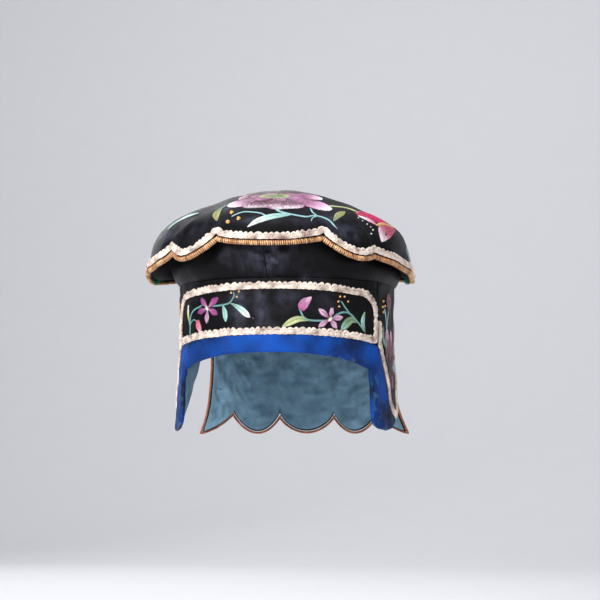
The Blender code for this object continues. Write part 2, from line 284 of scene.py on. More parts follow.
@dataclass(frozen=True)
class Crease:
    """A soft ridge or groove along a line of flat places."""

    line: tuple[Pair, ...]
    height: float
    width: float

    def read(self, u: Array, v: Array) -> Array:
        """The height at flat places, fading out towards the crease's ends.

        Args:
            u: Places across the flat cloth.
            v: Places up it.

        Returns:
            The heights.
        """
        total = np.zeros(np.broadcast(u, v).shape)
        for (au, av), (bu, bv) in zip(self.line, self.line[1:]):
            run = (bu - au) ** 2 + (bv - av) ** 2
            share = np.clip(((u - au) * (bu - au) + (v - av) * (bv - av)) / run, 0, 1)
            gap = np.hypot(u - au - share * (bu - au), v - av - share * (bv - av))
            total = np.maximum(total, np.exp(-((gap / self.width) ** 2)))
        return total * self.height


@dataclass(frozen=True)
class Meridian:
    """A dome's section, as a table of slopes along its arc, added up from the apex."""

    bends: tuple[Pair, ...]
    top: float
    step: float = 0.25

    @cached_property
    def table(self) -> tuple[Array, Array, Array]:
        """The section, added up once.

        Returns:
            Arc lengths, and the radius and height at each.
        """
        arcs = np.arange(0, self.bends[-1][0] + 8, self.step)
        slope = self.slope((arcs[:-1] + arcs[1:]) / 2)
        radius = np.concatenate([[0.0], np.cumsum(self.step * np.cos(slope))])
        height = self.top - np.concatenate([[0.0], np.cumsum(self.step * np.sin(slope))])
        return arcs, radius, height

    def slope(self, arc: Array) -> Array:
        """The slope in radians at arc lengths."""
        where, slopes = zip(*self.bends)
        return np.radians(np.interp(arc, where, slopes))

    def read(self, arc: Array) -> tuple[Array, Array, Array]:
        """The radius, height and slope at arc lengths."""
        arcs, radius, height = self.table
        return np.interp(arc, arcs, radius), np.interp(arc, arcs, height), self.slope(arc)


@dataclass(frozen=True)
class HeadOval:
    """The plan of the head: a little square, and longer than it is wide."""

    squareness: float = 0.91
    longer: float = 10.0
    longer_from: float = 45.0

    def plan(self, radius: Array, turn: Array) -> tuple[Array, Array]:
        """Where a radius at a turn from the front lies, to the side and along.

        Args:
            radius: Radii from the middle.
            turn: Turns from the front, in degrees.

        Returns:
            The places to the side, and the places along.
        """
        longer = self.longer * (1 - np.exp(-((radius / self.longer_from) ** 2)))
        angle = np.radians(turn)
        across = radius * signed_power(np.sin(angle), self.squareness)
        return across, -(radius + longer) * signed_power(np.cos(angle), self.squareness)


@dataclass(frozen=True)
class Scallop:
    """One lobe of an outline: where it starts and ends, how far it reaches there, and its swell."""

    start: float
    end: float
    start_reach: float
    end_reach: float
    swell: float


@dataclass(frozen=True)
class ScallopedEdge:
    """An outline of lobes between cusps, from its middle outwards."""

    scallops: tuple[Scallop, ...]
    tip_power: float = 0.6
    lobe_power: float = 0.8

    def reach(self, where: Array) -> Array:
        """How far the outline reaches.

        Args:
            where: Places along the outline.

        Returns:
            The reach at each place.
        """
        where = np.asarray(where, float)
        out = np.full(where.shape, self.scallops[-1].end_reach)
        for s in reversed(self.scallops):
            share = np.clip((where - s.start) / (s.end - s.start), 0, 1)
            if s.swell == 0:
                bow = np.clip(np.cos(share * math.pi / 2), 0, 1) ** self.tip_power
                value = s.end_reach + (s.start_reach - s.end_reach) * bow
            else:
                bow = np.clip(np.sin(share * math.pi), 0, 1) ** self.lobe_power
                value = s.start_reach + (s.end_reach - s.start_reach) * share + s.swell * bow
            out = np.where((where >= s.start) & (where <= s.end), value, out)
        return out

    def lobe(self, where: Array) -> Array:
        """0 at each cusp and 1 at the middle of a lobe.

        Args:
            where: Places along the outline.

        Returns:
            The value at each place.
        """
        out = np.zeros(np.shape(where))
        for s in reversed(self.scallops):
            share = np.clip((where - s.start) / (s.end - s.start), 0, 1)
            bow = np.cos(share * math.pi / 2) if s.start == 0 else np.sin(share * math.pi)
            out = np.where((where >= s.start) & (where <= s.end), bow, out)
        return out

    def places(self, step: float) -> Array:
        """Places from the middle to the last end, with one on every cusp.

        Args:
            step: The spacing of the places.

        Returns:
            The places.
        """
        rows = []
        for s in self.scallops:
            count = max(4, round((s.end - s.start) / step))
            rows.extend(np.linspace(s.start, s.end, count, endpoint=False))
        return np.array(rows)


OVAL = HeadOval()
# The crown and lid lean to the wearer's right by this much, over this rise above the band's top.
LEAN = -4.2
LEAN_RISE = 40.0
BAND_TOP = -65.0
BRAID_LIFT = 0.1


class Ground(ABC):
    """The outer face of a cloth, reached by two coordinates of its own."""

    @abstractmethod
    def point(self, across: Array, along: Array, lift: Array) -> Array:
        """Points on the face, lifted off it."""

    @abstractmethod
    def place(self, u: Array, v: Array) -> tuple[Array, Array]:
        """The face's own coordinates of places on the flat cloth, in millimetres."""

    def at(self, u: Array, v: Array, lift: Array) -> Array:
        """Points over flat places."""
        across, along = self.place(np.asarray(u, float), np.asarray(v, float))
        return self.point(across, along, np.asarray(lift, float))

    def rise(self, across: Array, along: Array) -> Array:
        """The direction off the face."""
        return unit(self.point(across, along, 1.0) - self.point(across, along, 0.0))

    def beside(self, path: Array, distance: float, closed: bool) -> Array:
        """A path moved sideways on the face, to the left of its travel, with mitred corners.

        Args:
            path: The face's coordinates, one row for each point.
            distance: How far to move it in millimetres.
            closed: Whether the path joins on to its start.

        Returns:
            The moved coordinates.
        """
        across, along = path[:, 0], path[:, 1]
        small = 0.01
        here = self.point(across, along, 0.0)
        wide = np.linalg.norm(self.point(across + small, along, 0.0) - here, axis=1) / small
        tall = np.linalg.norm(self.point(across, along + small, 0.0) - here, axis=1) / small
        step = np.roll(path, -1, axis=0) - path
        step[:, 0] = (step[:, 0] + 180) % 360 - 180
        flat = unit(step * np.stack([wide, tall], axis=1))
        into, out = np.roll(flat, 1, axis=0), flat.copy()
        if not closed:
            into[0], out[-1] = out[0], into[-1]
        left = unit(np.stack([-into[:, 1] - out[:, 1], into[:, 0] + out[:, 0]], axis=1))
        square = np.sum(left * np.stack([-into[:, 1], into[:, 0]], axis=1), axis=1)
        mitre = distance / np.maximum(0.35, square)
        return path + left * (mitre / np.stack([wide, tall])).T


class DomeGround(Ground):
    """A dome: across is a turn from the front, and along is the arc length from the apex."""

    def flat(self, across: Array, along: Array) -> tuple[Array, Array]:
        """Places on the dome's flat pattern, with the apex at its middle."""
        angle = np.radians(across)
        return along * np.sin(angle), -along * np.cos(angle)

    def place(self, u: Array, v: Array) -> tuple[Array, Array]:
        """The turn and arc length of places on the flat pattern."""
        return np.degrees(np.arctan2(u, -v)), np.hypot(u, v)


@dataclass(frozen=True)
class LidGround(DomeGround):
    """The lid's outer face.

    Attributes:
        meridian: The dome's section.
        edge: The outline of one quarter.
        twist: How far the lid is sewn round from square.
        puff: How far each lobe is puffed out between its cusps.
        puff_from: The arc length where the puff starts.
        puff_full: The arc length where it is full.
        notch_turn: The turn of the cusp that is cut deeper.
        notch_depth: How much deeper.
        notch_width: How wide that cut is, in degrees.
        flat_top: The arc length within which the cloth lies smooth at the apex.
        relief: The cloth's unevenness.
        creases: Its soft folds.
    """

    meridian: Meridian = Meridian(
        ((0, 0), (20, 11.5), (45, 21), (73, 26), (87, 38), (98, 67), (106, 77), (134, 84)), 5.0
    )
    edge: ScallopedEdge = ScallopedEdge(
        (
            Scallop(0.0, 21.5, 108.5, 103.5, 0.0),
            Scallop(21.5, 47.0, 103.5, 114.5, 7.5),
            Scallop(47.0, 90.0, 114.5, 125.0, 1.0),
        )
    )
    twist: float = 5.0
    puff: float = 2.0
    puff_from: float = 70.0
    puff_full: float = 120.0
    notch_turn: float = -40.5
    notch_depth: float = 3.6
    notch_width: float = 5.0
    flat_top: float = 20.0
    relief: Relief = Relief(0.28, 26.0, 11)
    creases: tuple[Crease, ...] = (
        Crease(((-50, -79), (-60, -80), (-68, -77)), 0.9, 3.4),
        Crease(((57, -75), (65, -74), (73, -69), (84, -71)), 1.0, 3.4),
        Crease(((60, -80), (70, -75), (80, -76)), -0.8, 3.0),
    )

    def half_turn(self, turn: Array) -> Array:
        """The turn on the lid's own pattern, folded into one quarter."""
        folded = np.abs((turn - self.twist + 180) % 360 - 180)
        return np.minimum(folded, 180 - folded)

    def reach(self, turn: Array) -> Array:
        """The arc length from the apex to the edge, cut a little deeper at one cusp.

        Args:
            turn: Turns from the front, in degrees.

        Returns:
            The arc length at each turn.
        """
        folded = (np.asarray(turn) + 180) % 360 - 180
        notch = self.notch_depth * np.exp(-(((folded - self.notch_turn) / self.notch_width) ** 2))
        return self.edge.reach(self.half_turn(turn)) - notch

    def turns(self, step: float) -> Array:
        """Turns all the way round, with one on every cusp and tip.

        Args:
            step: The spacing of the places.

        Returns:
            The turns, in degrees.
        """
        quarter = self.edge.places(step)
        half = np.concatenate([quarter, [90.0], 180 - quarter[:0:-1]])
        return self.twist + np.concatenate([half, 180 + half])

    def point(self, across: Array, along: Array, lift: Array) -> Array:
        """Points on the lid, with each lobe puffed out between its cusps.

        Args:
            across: The face's first coordinate.
            along: The face's second coordinate.
            lift: The height off the face, in millimetres.

        Returns:
            The points, in millimetres.
        """
        radius, height, slope = self.meridian.read(along)
        u, v = self.flat(across, along)
        settled = ease(along / self.flat_top)
        lift = lift + settled * (self.relief.read(u, v) + sum(c.read(u, v) for c in self.creases))
        lobe = self.edge.lobe(self.half_turn(across))
        puff = self.puff * lobe * ease((along - self.puff_from) / (self.puff_full - self.puff_from))
        x, y = OVAL.plan(radius + (lift + puff) * np.sin(slope), across)
        return np.stack(np.broadcast_arrays(x + LEAN, y, height + lift * np.cos(slope)), axis=-1)


@dataclass(frozen=True)
class CrownGround(DomeGround):
    """The crown's outer face, drawn in along its seam and puckered beside it."""

    meridian: Meridian = Meridian(
        ((0, 0), (20, 11.5), (45, 21), (75, 27), (96, 90), (113, 92), (127, 136)), 2.5
    )
    relief: Relief = Relief(0.3, 24.0, 23)
    seam_depth: float = 1.3
    seam_width: float = 2.0
    seam_end: float = 124.0
    crumple: float = 0.75
    crumple_length: float = 8.5
    crumple_reach: float = 10.0
    slants: Pair = (0.22, 0.3)
    fine: Pair = (0.5, 0.61)
    fine_phase: float = 1.3
    side_start: float = 72.0
    side_end: float = 122.0

    def middle(self, height: Array) -> Array:
        """Where the seam runs, to the side of the middle, because the crown leans above the band."""
        return LEAN * ease((height - BAND_TOP) / LEAN_RISE)

    def point(self, across: Array, along: Array, lift: Array) -> Array:
        """Points on the crown, drawn in along its seam and crumpled beside it.

        Args:
            across: The face's first coordinate.
            along: The face's second coordinate.
            lift: The height off the face, in millimetres.

        Returns:
            The points, in millimetres.
        """
        radius, height, slope = self.meridian.read(along)
        u, v = self.flat(across, along)
        off = np.abs(u)
        seam = -self.seam_depth * np.exp(-((off / self.seam_width) ** 2))
        fine_height, fine_length = self.fine
        wave = np.sin(math.tau * (along + self.slants[0] * off) / self.crumple_length)
        fine = math.tau * (along - self.slants[1] * off) / (self.crumple_length * fine_length)
        wave = wave + fine_height * np.sin(fine + self.fine_phase)
        pinch = self.crumple * wave * np.exp(-((off / self.crumple_reach) ** 2))
        settled = ease((along - self.side_start) / 14) * ease((self.side_end - along) / 8)
        seam = ease((self.seam_end - along) / 6) * seam
        lift = lift + settled * (self.relief.read(u, v) + pinch) + seam
        x, y = OVAL.plan(radius + lift * np.sin(slope), across)
        height = height + lift * np.cos(slope)
        return np.stack(np.broadcast_arrays(x + self.middle(height), y, height), axis=-1)


@dataclass(frozen=True)
class WallGround(Ground):
    """The band and the ear flaps: across is a turn from the front, and along is a height."""

    rings: tuple[Pair, ...] = ((-170, 79.0), (-130, 76.2), (-117, 75.4), (-78, 75.8), (-60, 76.4))
    relief: Relief = Relief(0.0, 22.0, 37)
    creases: tuple[Crease, ...] = ()
    level: float = -88.0

    @cached_property
    def girth(self) -> tuple[Array, Array]:
        """The band's length round, measured once.

        Returns:
            Turns, and the length round the band to each.
        """
        turns = np.arange(0, 181, 1.0)
        radius = np.interp(self.level, *zip(*self.rings))
        x, y = OVAL.plan(np.full(turns.shape, radius), turns)
        return turns, np.concatenate([[0.0], np.cumsum(np.hypot(np.diff(x), np.diff(y)))])

    def point(self, across: Array, along: Array, lift: Array) -> Array:
        """Points on the band or a flap.

        Args:
            across: The face's first coordinate.
            along: The face's second coordinate.
            lift: The height off the face, in millimetres.

        Returns:
            The points, in millimetres.
        """
        heights, radii = zip(*self.rings)
        u = self.round(across)
        lift = lift + self.relief.read(u, along) + sum(c.read(u, along) for c in self.creases)
        x, y = OVAL.plan(np.interp(along, heights, radii) + lift, across)
        return np.stack(np.broadcast_arrays(x, y, along), axis=-1)

    def round(self, turn: Array) -> Array:
        """The length round the band to a turn."""
        return np.sign(turn) * np.interp(np.abs(turn), *self.girth)

    def place(self, u: Array, v: Array) -> tuple[Array, Array]:
        """The turn and height of places on the band laid out flat from the front's middle."""
        turns, lengths = self.girth
        return np.sign(u) * np.interp(np.abs(u), lengths, turns), v


@dataclass(frozen=True)
class MirroredGround(Ground):
    """A face on the other side of the hat."""

    face: Ground
    side: Side

    def point(self, across: Array, along: Array, lift: Array) -> Array:
        """Points on the face, on this side of the hat."""
        return self.face.point(self.side.value * across, along, lift)

    def place(self, u: Array, v: Array) -> tuple[Array, Array]:
        """The face's own coordinates of places on the flat cloth."""
        return self.face.place(u, v)


@dataclass(frozen=True)
class NeckGround(Ground):
    """The neck flap: across runs from -1 to 1 between its side edges, and along is a height."""

    turn: float = 60.0
    half_width: float = 78.5
    depth: float = 92.0
    bow: float = 18.0
    foot: float = -168.0
    flare: float = 4.0
    top_radius: float = 76.24
    smooth: float = 4.0
    settle: float = 30.0
    relief: Relief = Relief(0.4, 34.0, 41)

    def bare(self, across: Array, along: Array) -> Array:
        """Points on the outer face before its unevenness.

        Args:
            across: The face's first coordinate.
            along: The face's second coordinate.

        Returns:
            The points, in millimetres.
        """
        top_x, top_y = OVAL.plan(self.top_radius, 180 - self.turn * across)
        foot_x, foot_y = self.half_width * across, self.depth - self.bow * across**2
        down = np.clip((BAND_TOP - along) / (BAND_TOP - self.foot), 0.0, 1.05)
        x = top_x + (foot_x - top_x) * down**self.flare
        return np.stack(np.broadcast_arrays(x, top_y + (foot_y - top_y) * down, along), axis=-1)

    def point(self, across: Array, along: Array, lift: Array) -> Array:
        """Points lifted along the face's own direction.

        Args:
            across: The face's first coordinate.
            along: The face's second coordinate.
            lift: The height off the face, in millimetres.

        Returns:
            The points, in millimetres.
        """
        small = 0.02
        side = self.bare(across + small, along) - self.bare(across - small, along)
        fall = self.bare(across, along - 1) - self.bare(across, along + 1)
        settled = ease((BAND_TOP - self.smooth - along) / self.settle)
        lift = lift + settled * self.relief.read(across * self.half_width, along)
        return self.bare(across, along) + np.asarray(lift)[..., None] * unit(np.cross(side, fall))

    def place(self, u: Array, v: Array) -> tuple[Array, Array]:
        """The flap's own coordinates of places on it laid flat."""
        return u / self.half_width, v


class Bench:
    """Adds nodes to one tree and joins them."""

    def __init__(self, tree: bpy.types.NodeTree) -> None:
        """Keep the tree."""
        self.tree = tree

    def add(self, kind: str, /, *sockets: object, **settings: object) -> bpy.types.Node:
        """Add a node.

        Args:
            kind: The node's type.
            sockets: What goes into its inputs, in order: an output, a value, or None for neither.
            settings: The node's own settings.

        Returns:
            The node.
        """
        node = self.tree.nodes.new(kind)
        for name, value in settings.items():
            setattr(node, name, value)
        visible = [socket for socket in node.inputs if socket.enabled]
        for socket, given in zip(visible, sockets):
            self.put(socket, given)
        return node

    def put(self, socket: Socket, given: object) -> None:
        """Join an output to an input, or set the input's value.

        Args:
            socket: The input.
            given: An output, a value, or None for neither.
        """
        if isinstance(given, Socket):
            self.tree.links.new(given, socket)
        elif given is not None:
            socket.default_value = given

    def maths(self, operation: str, *values: object) -> Socket:
        """One step of arithmetic."""
        return self.add("ShaderNodeMath", *values, operation=operation).outputs[0]

    def plus(self, first: object, second: object) -> Socket:
        """One value added to another."""
        return self.maths("ADD", first, second)

    def less(self, first: object, second: object) -> Socket:
        """The second value taken off the first."""
        return self.maths("SUBTRACT", first, second)

    def times(self, first: object, second: object) -> Socket:
        """One value multiplied by another."""
        return self.maths("MULTIPLY", first, second)

    def vector(self, operation: str, *values: object) -> Socket:
        """One step of vector arithmetic."""
        node = self.add("ShaderNodeVectorMath", *values, operation=operation)
        return next(socket for socket in node.outputs if socket.enabled)


class Dyer(Bench):
    """Builds one material round a principled shader."""

    def __init__(self, name: str) -> None:
        """Start the named material.

        Args:
            name: The material's name.
        """
        self.material = bpy.data.materials.new(name)
        self.material.use_nodes = True
        super().__init__(self.material.node_tree)
        self.shader = self.tree.nodes["Principled BSDF"]

    def set(self, **values: object) -> None:
        """Set or join the shader's sockets, whose names are written with underscores.

        Args:
            values: What goes into each socket.
        """
        for name, value in values.items():
            if isinstance(value, tuple) and len(value) == 3:
                value = (*value, 1.0)
            self.put(self.shader.inputs[name.replace("_", " ")], value)

    def own(self, name: str = CLOTH_MAP) -> Socket:
        """The piece's own flat map."""
        return self.add("ShaderNodeUVMap", uv_map=name).outputs[0]

    def body(self) -> Socket:
        """Object coordinates."""
        return self.add("ShaderNodeTexCoord").outputs["Object"]

    def attribute(self, name: str) -> bpy.types.Node:
        """A named attribute of the mesh."""
        return self.add("ShaderNodeAttribute", attribute_name=name)

    def noise(self, where: object, scale: float, detail: float = 2.0) -> Socket:
        """Seeded blotches.

        Args:
            where: The coordinates.
            scale: How many blotches to a metre.
            detail: How finely they break up.

        Returns:
            A value from 0 to 1.
        """
        node = self.add("ShaderNodeTexNoise", where)
        node.inputs["Scale"].default_value = scale
        node.inputs["Detail"].default_value = detail
        return node.outputs["Fac"]

    def ribs(self, where: object, pitch: float, heading: str = "X", wander: float = 0.0) -> Socket:
        """Threads side by side.

        Args:
            where: The coordinates, in metres.
            pitch: The threads' spacing in millimetres.
            heading: The axis that the threads are counted along.
            wander: How far they stray.

        Returns:
            A height from 0 to 1.
        """
        node = self.add("ShaderNodeTexWave", where, bands_direction=heading)
        node.inputs["Scale"].default_value = math.tau / (20 * pitch * MM)
        node.inputs["Distortion"].default_value = wander
        node.inputs["Detail"].default_value = 1.0
        return node.outputs["Fac"]

    def range(
        self, value: object, low: float, high: float, start: float = 0.3, end: float = 0.7
    ) -> Socket:
        """A value from start to end, read as one from low to high."""
        return self.add("ShaderNodeMapRange", value, start, end, low, high).outputs[0]

    def blend(self, share: object, first: object, second: object) -> Socket:
        """One colour turning into another.

        Args:
            share: How far it has turned.
            first: The colour at 0.
            second: The colour at 1.

        Returns:
            The colour.
        """
        node = self.add("ShaderNodeMix", data_type="RGBA")
        colours = [s for s in node.inputs if s.type == "RGBA"]
        self.put(node.inputs[0], share)
        for socket, given in zip(colours, (first, second)):
            self.put(socket, (*given, 1.0) if isinstance(given, tuple) else given)
        return next(s for s in node.outputs if s.type == "RGBA")

    def bump(self, height: object, depth: float, over: object = None) -> Socket:
        """A relief in the finish, its depth in millimetres.

        Args:
            height: The relief, from 0 to 1.
            depth: Its depth.
            over: The relief that it lies on.

        Returns:
            The surface's direction.
        """
        node = self.add("ShaderNodeBump")
        node.inputs["Distance"].default_value = depth * MM
        self.put(node.inputs["Height"], height)
        self.put(node.inputs["Normal"], over)
        return node.outputs[0]


@dataclass(frozen=True)
class Finish(ABC):
    """A finish that a piece is dressed in."""

    name: str

    def material(self) -> bpy.types.Material:
        """The finish's material, made once.

        Returns:
            The material.
        """
        found = bpy.data.materials.get(self.name)
        if found is None:
            dyer = Dyer(self.name)
            self.dye(dyer)
            found = dyer.material
        return found

    @abstractmethod
    def dye(self, dyer: Dyer) -> None:
        """Build the material.

        Args:
            dyer: The material's nodes.
        """


@dataclass(frozen=True)
class Satin(Finish):
    """Black silk satin: close warp floats, with a soft blue-grey sheen painted into its colour.

    The cloth's sheen attribute is 1 at the listed spots of painted sheen, and random blotches of painted sheen are
    added to it.
    """

    deep: Colour = linear(0.016, 0.015, 0.022)
    # The colour of the painted sheen.
    bloom: Colour = linear(0.34, 0.34, 0.42)
    warp: float = 0.32

    def dye(self, dyer: Dyer) -> None:
        """Build the satin.

        Args:
            dyer: The material's nodes.
        """
        flat, body = dyer.own(), dyer.body()
        cloudy = dyer.noise(body, 34.0, 3.0)
        crumple = dyer.noise(body, 150.0, 4.0)
        streak = dyer.noise(dyer.vector("MULTIPLY", flat, (1.0, 0.12, 1.0)), 900.0, 2.0)
        # Painted sheen: the listed spots and random cloudy blotches, broken up by crumple and streaks, turn the black
        # towards the sheen colour.
        placed_sheen = dyer.times(dyer.attribute(PAINTED_SHEEN).outputs["Fac"], dyer.range(cloudy, 0.35, 1.0))
        sheen_patch = dyer.plus(placed_sheen, dyer.range(cloudy, 0.0, 0.2, 0.5, 0.7))
        rubbed = dyer.times(sheen_patch, dyer.range(crumple, 0.15, 1.0, 0.36, 0.62))
        rubbed = dyer.times(rubbed, dyer.range(streak, 0.6, 1.0))
        weave = dyer.ribs(flat, self.warp, "X", 0.4)
        height = dyer.plus(weave, dyer.times(streak, 0.8))
        dyer.set(
            Base_Color=dyer.blend(rubbed, self.deep, self.bloom),
            Roughness=dyer.range(cloudy, 0.5, 0.38),
            Normal=dyer.bump(height, 0.03, dyer.bump(crumple, 0.45)),
            Sheen_Weight=0.008,
            Sheen_Roughness=0.35,
            Sheen_Tint=linear(0.62, 0.64, 0.80),
            Specular_IOR_Level=0.1,
        )


@dataclass(frozen=True)
class Silk(Finish):
    """Cobalt silk in plain weave, its dye uneven and worn pale along the folds.

    The cloth's attribute "shade" is painted light and shade, with some uneven dye: 0 where the blue is painted deepest
    and 1 where it is painted brightest, and "worn" is where the dye has gone.
    """

    # deep and bright are the blue in painted shade and in painted light.
    deep: Colour = linear(0.0, 0.07, 0.19)
    bright: Colour = linear(0.0, 0.27, 0.62)
    pale: Colour = linear(0.40, 0.62, 0.76)
    thread: float = 0.42

    def dye(self, dyer: Dyer) -> None:
        """Build the silk.

        Args:
            dyer: The material's nodes.
        """
        flat, body = dyer.own(), dyer.body()
        # shade is the painted light and shade with uneven dye, and worn is real wear.
        shade = dyer.attribute("shade").outputs["Fac"]
        worn = dyer.attribute("worn").outputs["Fac"]
        blotch = dyer.noise(body, 70.0, 5.0)
        slub = dyer.noise(dyer.vector("MULTIPLY", flat, (0.15, 1.0, 1.0)), 1400.0, 2.0)
        share = dyer.plus(shade, dyer.range(blotch, -0.22, 0.22))
        share = dyer.plus(share, dyer.range(slub, -0.08, 0.08))
        dye_and_painted_light = dyer.blend(dyer.range(share, 0.0, 1.0, 0.0, 1.0), self.deep, self.bright)
        thin = dyer.noise(body, 210.0, 6.0)
        rub = dyer.times(worn, dyer.range(thin, 0.0, 1.0, 0.5, 0.75))
        weave = dyer.plus(dyer.ribs(flat, self.thread, "X"), dyer.ribs(flat, self.thread, "Y"))
        dyer.set(
            Base_Color=dyer.blend(rub, dye_and_painted_light, self.pale),
            Roughness=dyer.range(blotch, 0.42, 0.6),
            Normal=dyer.bump(weave, 0.04, dyer.bump(dyer.noise(body, 160.0, 3.0), 0.3)),
            Sheen_Weight=0.03,
            Sheen_Roughness=0.4,
            Sheen_Tint=linear(0.1, 0.4, 1.0),
            Specular_IOR_Level=0.14,
        )


@dataclass(frozen=True)
class Lining(Finish):
    """Worn pale blue cotton, stained and thin at its high places."""

    deep: Colour = linear(0.24, 0.37, 0.45)
    bright: Colour = linear(0.46, 0.61, 0.70)
    thread: float = 0.5

    def dye(self, dyer: Dyer) -> None:
        """Build the cotton.

        Args:
            dyer: The material's nodes.
        """
        flat, body = dyer.own(), dyer.body()
        stain = dyer.noise(body, 80.0, 7.0)
        fleck = dyer.noise(flat, 900.0, 3.0)
        share = dyer.plus(dyer.range(stain, 0.15, 0.75, 0.32, 0.68), dyer.range(fleck, 0.0, 0.3))
        weave = dyer.plus(dyer.ribs(flat, self.thread, "X", 0.6), dyer.ribs(flat, self.thread, "Y", 0.6))
        dyer.set(
            Base_Color=dyer.blend(share, self.deep, self.bright),
            Roughness=0.85,
            Normal=dyer.bump(weave, 0.09, dyer.bump(dyer.noise(body, 210.0, 4.0), 0.5)),
            Sheen_Weight=0.1,
        )


@dataclass(frozen=True)
class Yarn(Finish):
    """Matt cream cotton yarn, darker in random blotches: soil and painted shade."""

    clean: Colour = linear(0.90, 0.84, 0.79)
    # A darker tone of soil and painted shade.
    soiled: Colour = linear(0.52, 0.42, 0.37)

    def dye(self, dyer: Dyer) -> None:
        """Build the yarn.

        Args:
            dyer: The material's nodes.
        """
        body = dyer.body()
        soil_and_shade_blotches = dyer.noise(body, 160.0, 5.0)
        fibre = dyer.noise(body, 2600.0, 2.0)
        dyer.set(
            Base_Color=dyer.blend(dyer.range(soil_and_shade_blotches, 0.0, 1.0, 0.42, 0.72), self.clean, self.soiled),
            Roughness=0.8,
            Normal=dyer.bump(fibre, 0.12),
            Sheen_Weight=0.15,
            Subsurface_Weight=0.1,
            Subsurface_Scale=0.001,
        )


@dataclass(frozen=True)
class Gilt(Finish):
    """Gilt paper strip wound on a cord, in random bright and brown patches: wear, and painted highlight."""

    bright: Colour = linear(0.98, 0.80, 0.60)
    brown: Colour = linear(0.70, 0.45, 0.26)

    def dye(self, dyer: Dyer) -> None:
        """Build the gilt.

        Args:
            dyer: The material's nodes.
        """
        body = dyer.body()
        # Random patches of wear and painted highlight turn the gilt from brown to bright.
        rub = dyer.noise(body, 170.0, 5.0)
        dyer.set(
            Base_Color=dyer.blend(dyer.range(rub, 0.0, 1.0), self.brown, self.bright),
            Metallic=0.55,
            Roughness=dyer.range(dyer.noise(body, 900.0, 2.0), 0.28, 0.5),
            Normal=dyer.bump(dyer.noise(body, 1700.0, 2.0), 0.05),
        )


@dataclass(frozen=True)
class Core(Finish):
    """The dark cotton core that shows between the wraps."""

    colour: Colour = linear(0.36, 0.20, 0.12)

    def dye(self, dyer: Dyer) -> None:
        """Build the core.

        Args:
            dyer: The material's nodes.
        """
        fibre = dyer.noise(dyer.body(), 1500.0, 2.0)
        dark = tuple(c * 0.5 for c in self.colour)
        colour = dyer.blend(fibre, dark, self.colour)
        dyer.set(Base_Color=colour, Roughness=0.8, Normal=dyer.bump(fibre, 0.1))


@dataclass(frozen=True)
class Floss(Finish):
    """Untwisted silk floss, which takes its colour from each thread."""

    gloss: float = 0.36

    def dye(self, dyer: Dyer) -> None:
        """Build the floss.

        Args:
            dyer: The material's nodes.
        """
        colour = dyer.attribute(THREAD_COLOUR).outputs["Color"]
        fibre = dyer.noise(dyer.body(), 2200.0, 2.0)
        darker = dyer.add("ShaderNodeHueSaturation")
        dyer.put(darker.inputs["Color"], colour)
        darker.inputs["Value"].default_value = 0.78
        dyer.set(
            Base_Color=dyer.blend(dyer.range(fibre, 0.0, 0.6), colour, darker.outputs[0]),
            Roughness=self.gloss,
            Normal=dyer.bump(fibre, 0.03),
            Sheen_Weight=0.25,
            Sheen_Roughness=0.35,
        )


@dataclass(frozen=True)
class StudioPaper(Finish):
    """The studio's pale paper."""

    colour: Colour = linear(0.91, 0.91, 0.92)

    def dye(self, dyer: Dyer) -> None:
        """Build the paper.

        Args:
            dyer: The material's nodes.
        """
        grain = dyer.noise(dyer.body(), 30.0, 3.0)
        dyer.set(
            Base_Color=dyer.blend(grain, self.colour, tuple(c * 0.97 for c in self.colour)),
            Roughness=0.9,
        )


BLACK_SATIN = Satin("black_satin_cloth")
BLUE_SILK = Silk("blue_silk_cloth")
PALE_LINING = Lining("pale_blue_cotton")
CREAM_YARN = Yarn("cream_yarn")
GILT_STRIP = Gilt("gilt_strip")
COPPER_STRIP = Gilt("copper_strip", linear(0.80, 0.52, 0.40), linear(0.50, 0.28, 0.20))
CORD_CORE = Core("cord_core")
SILK_FLOSS = Floss("silk_floss")


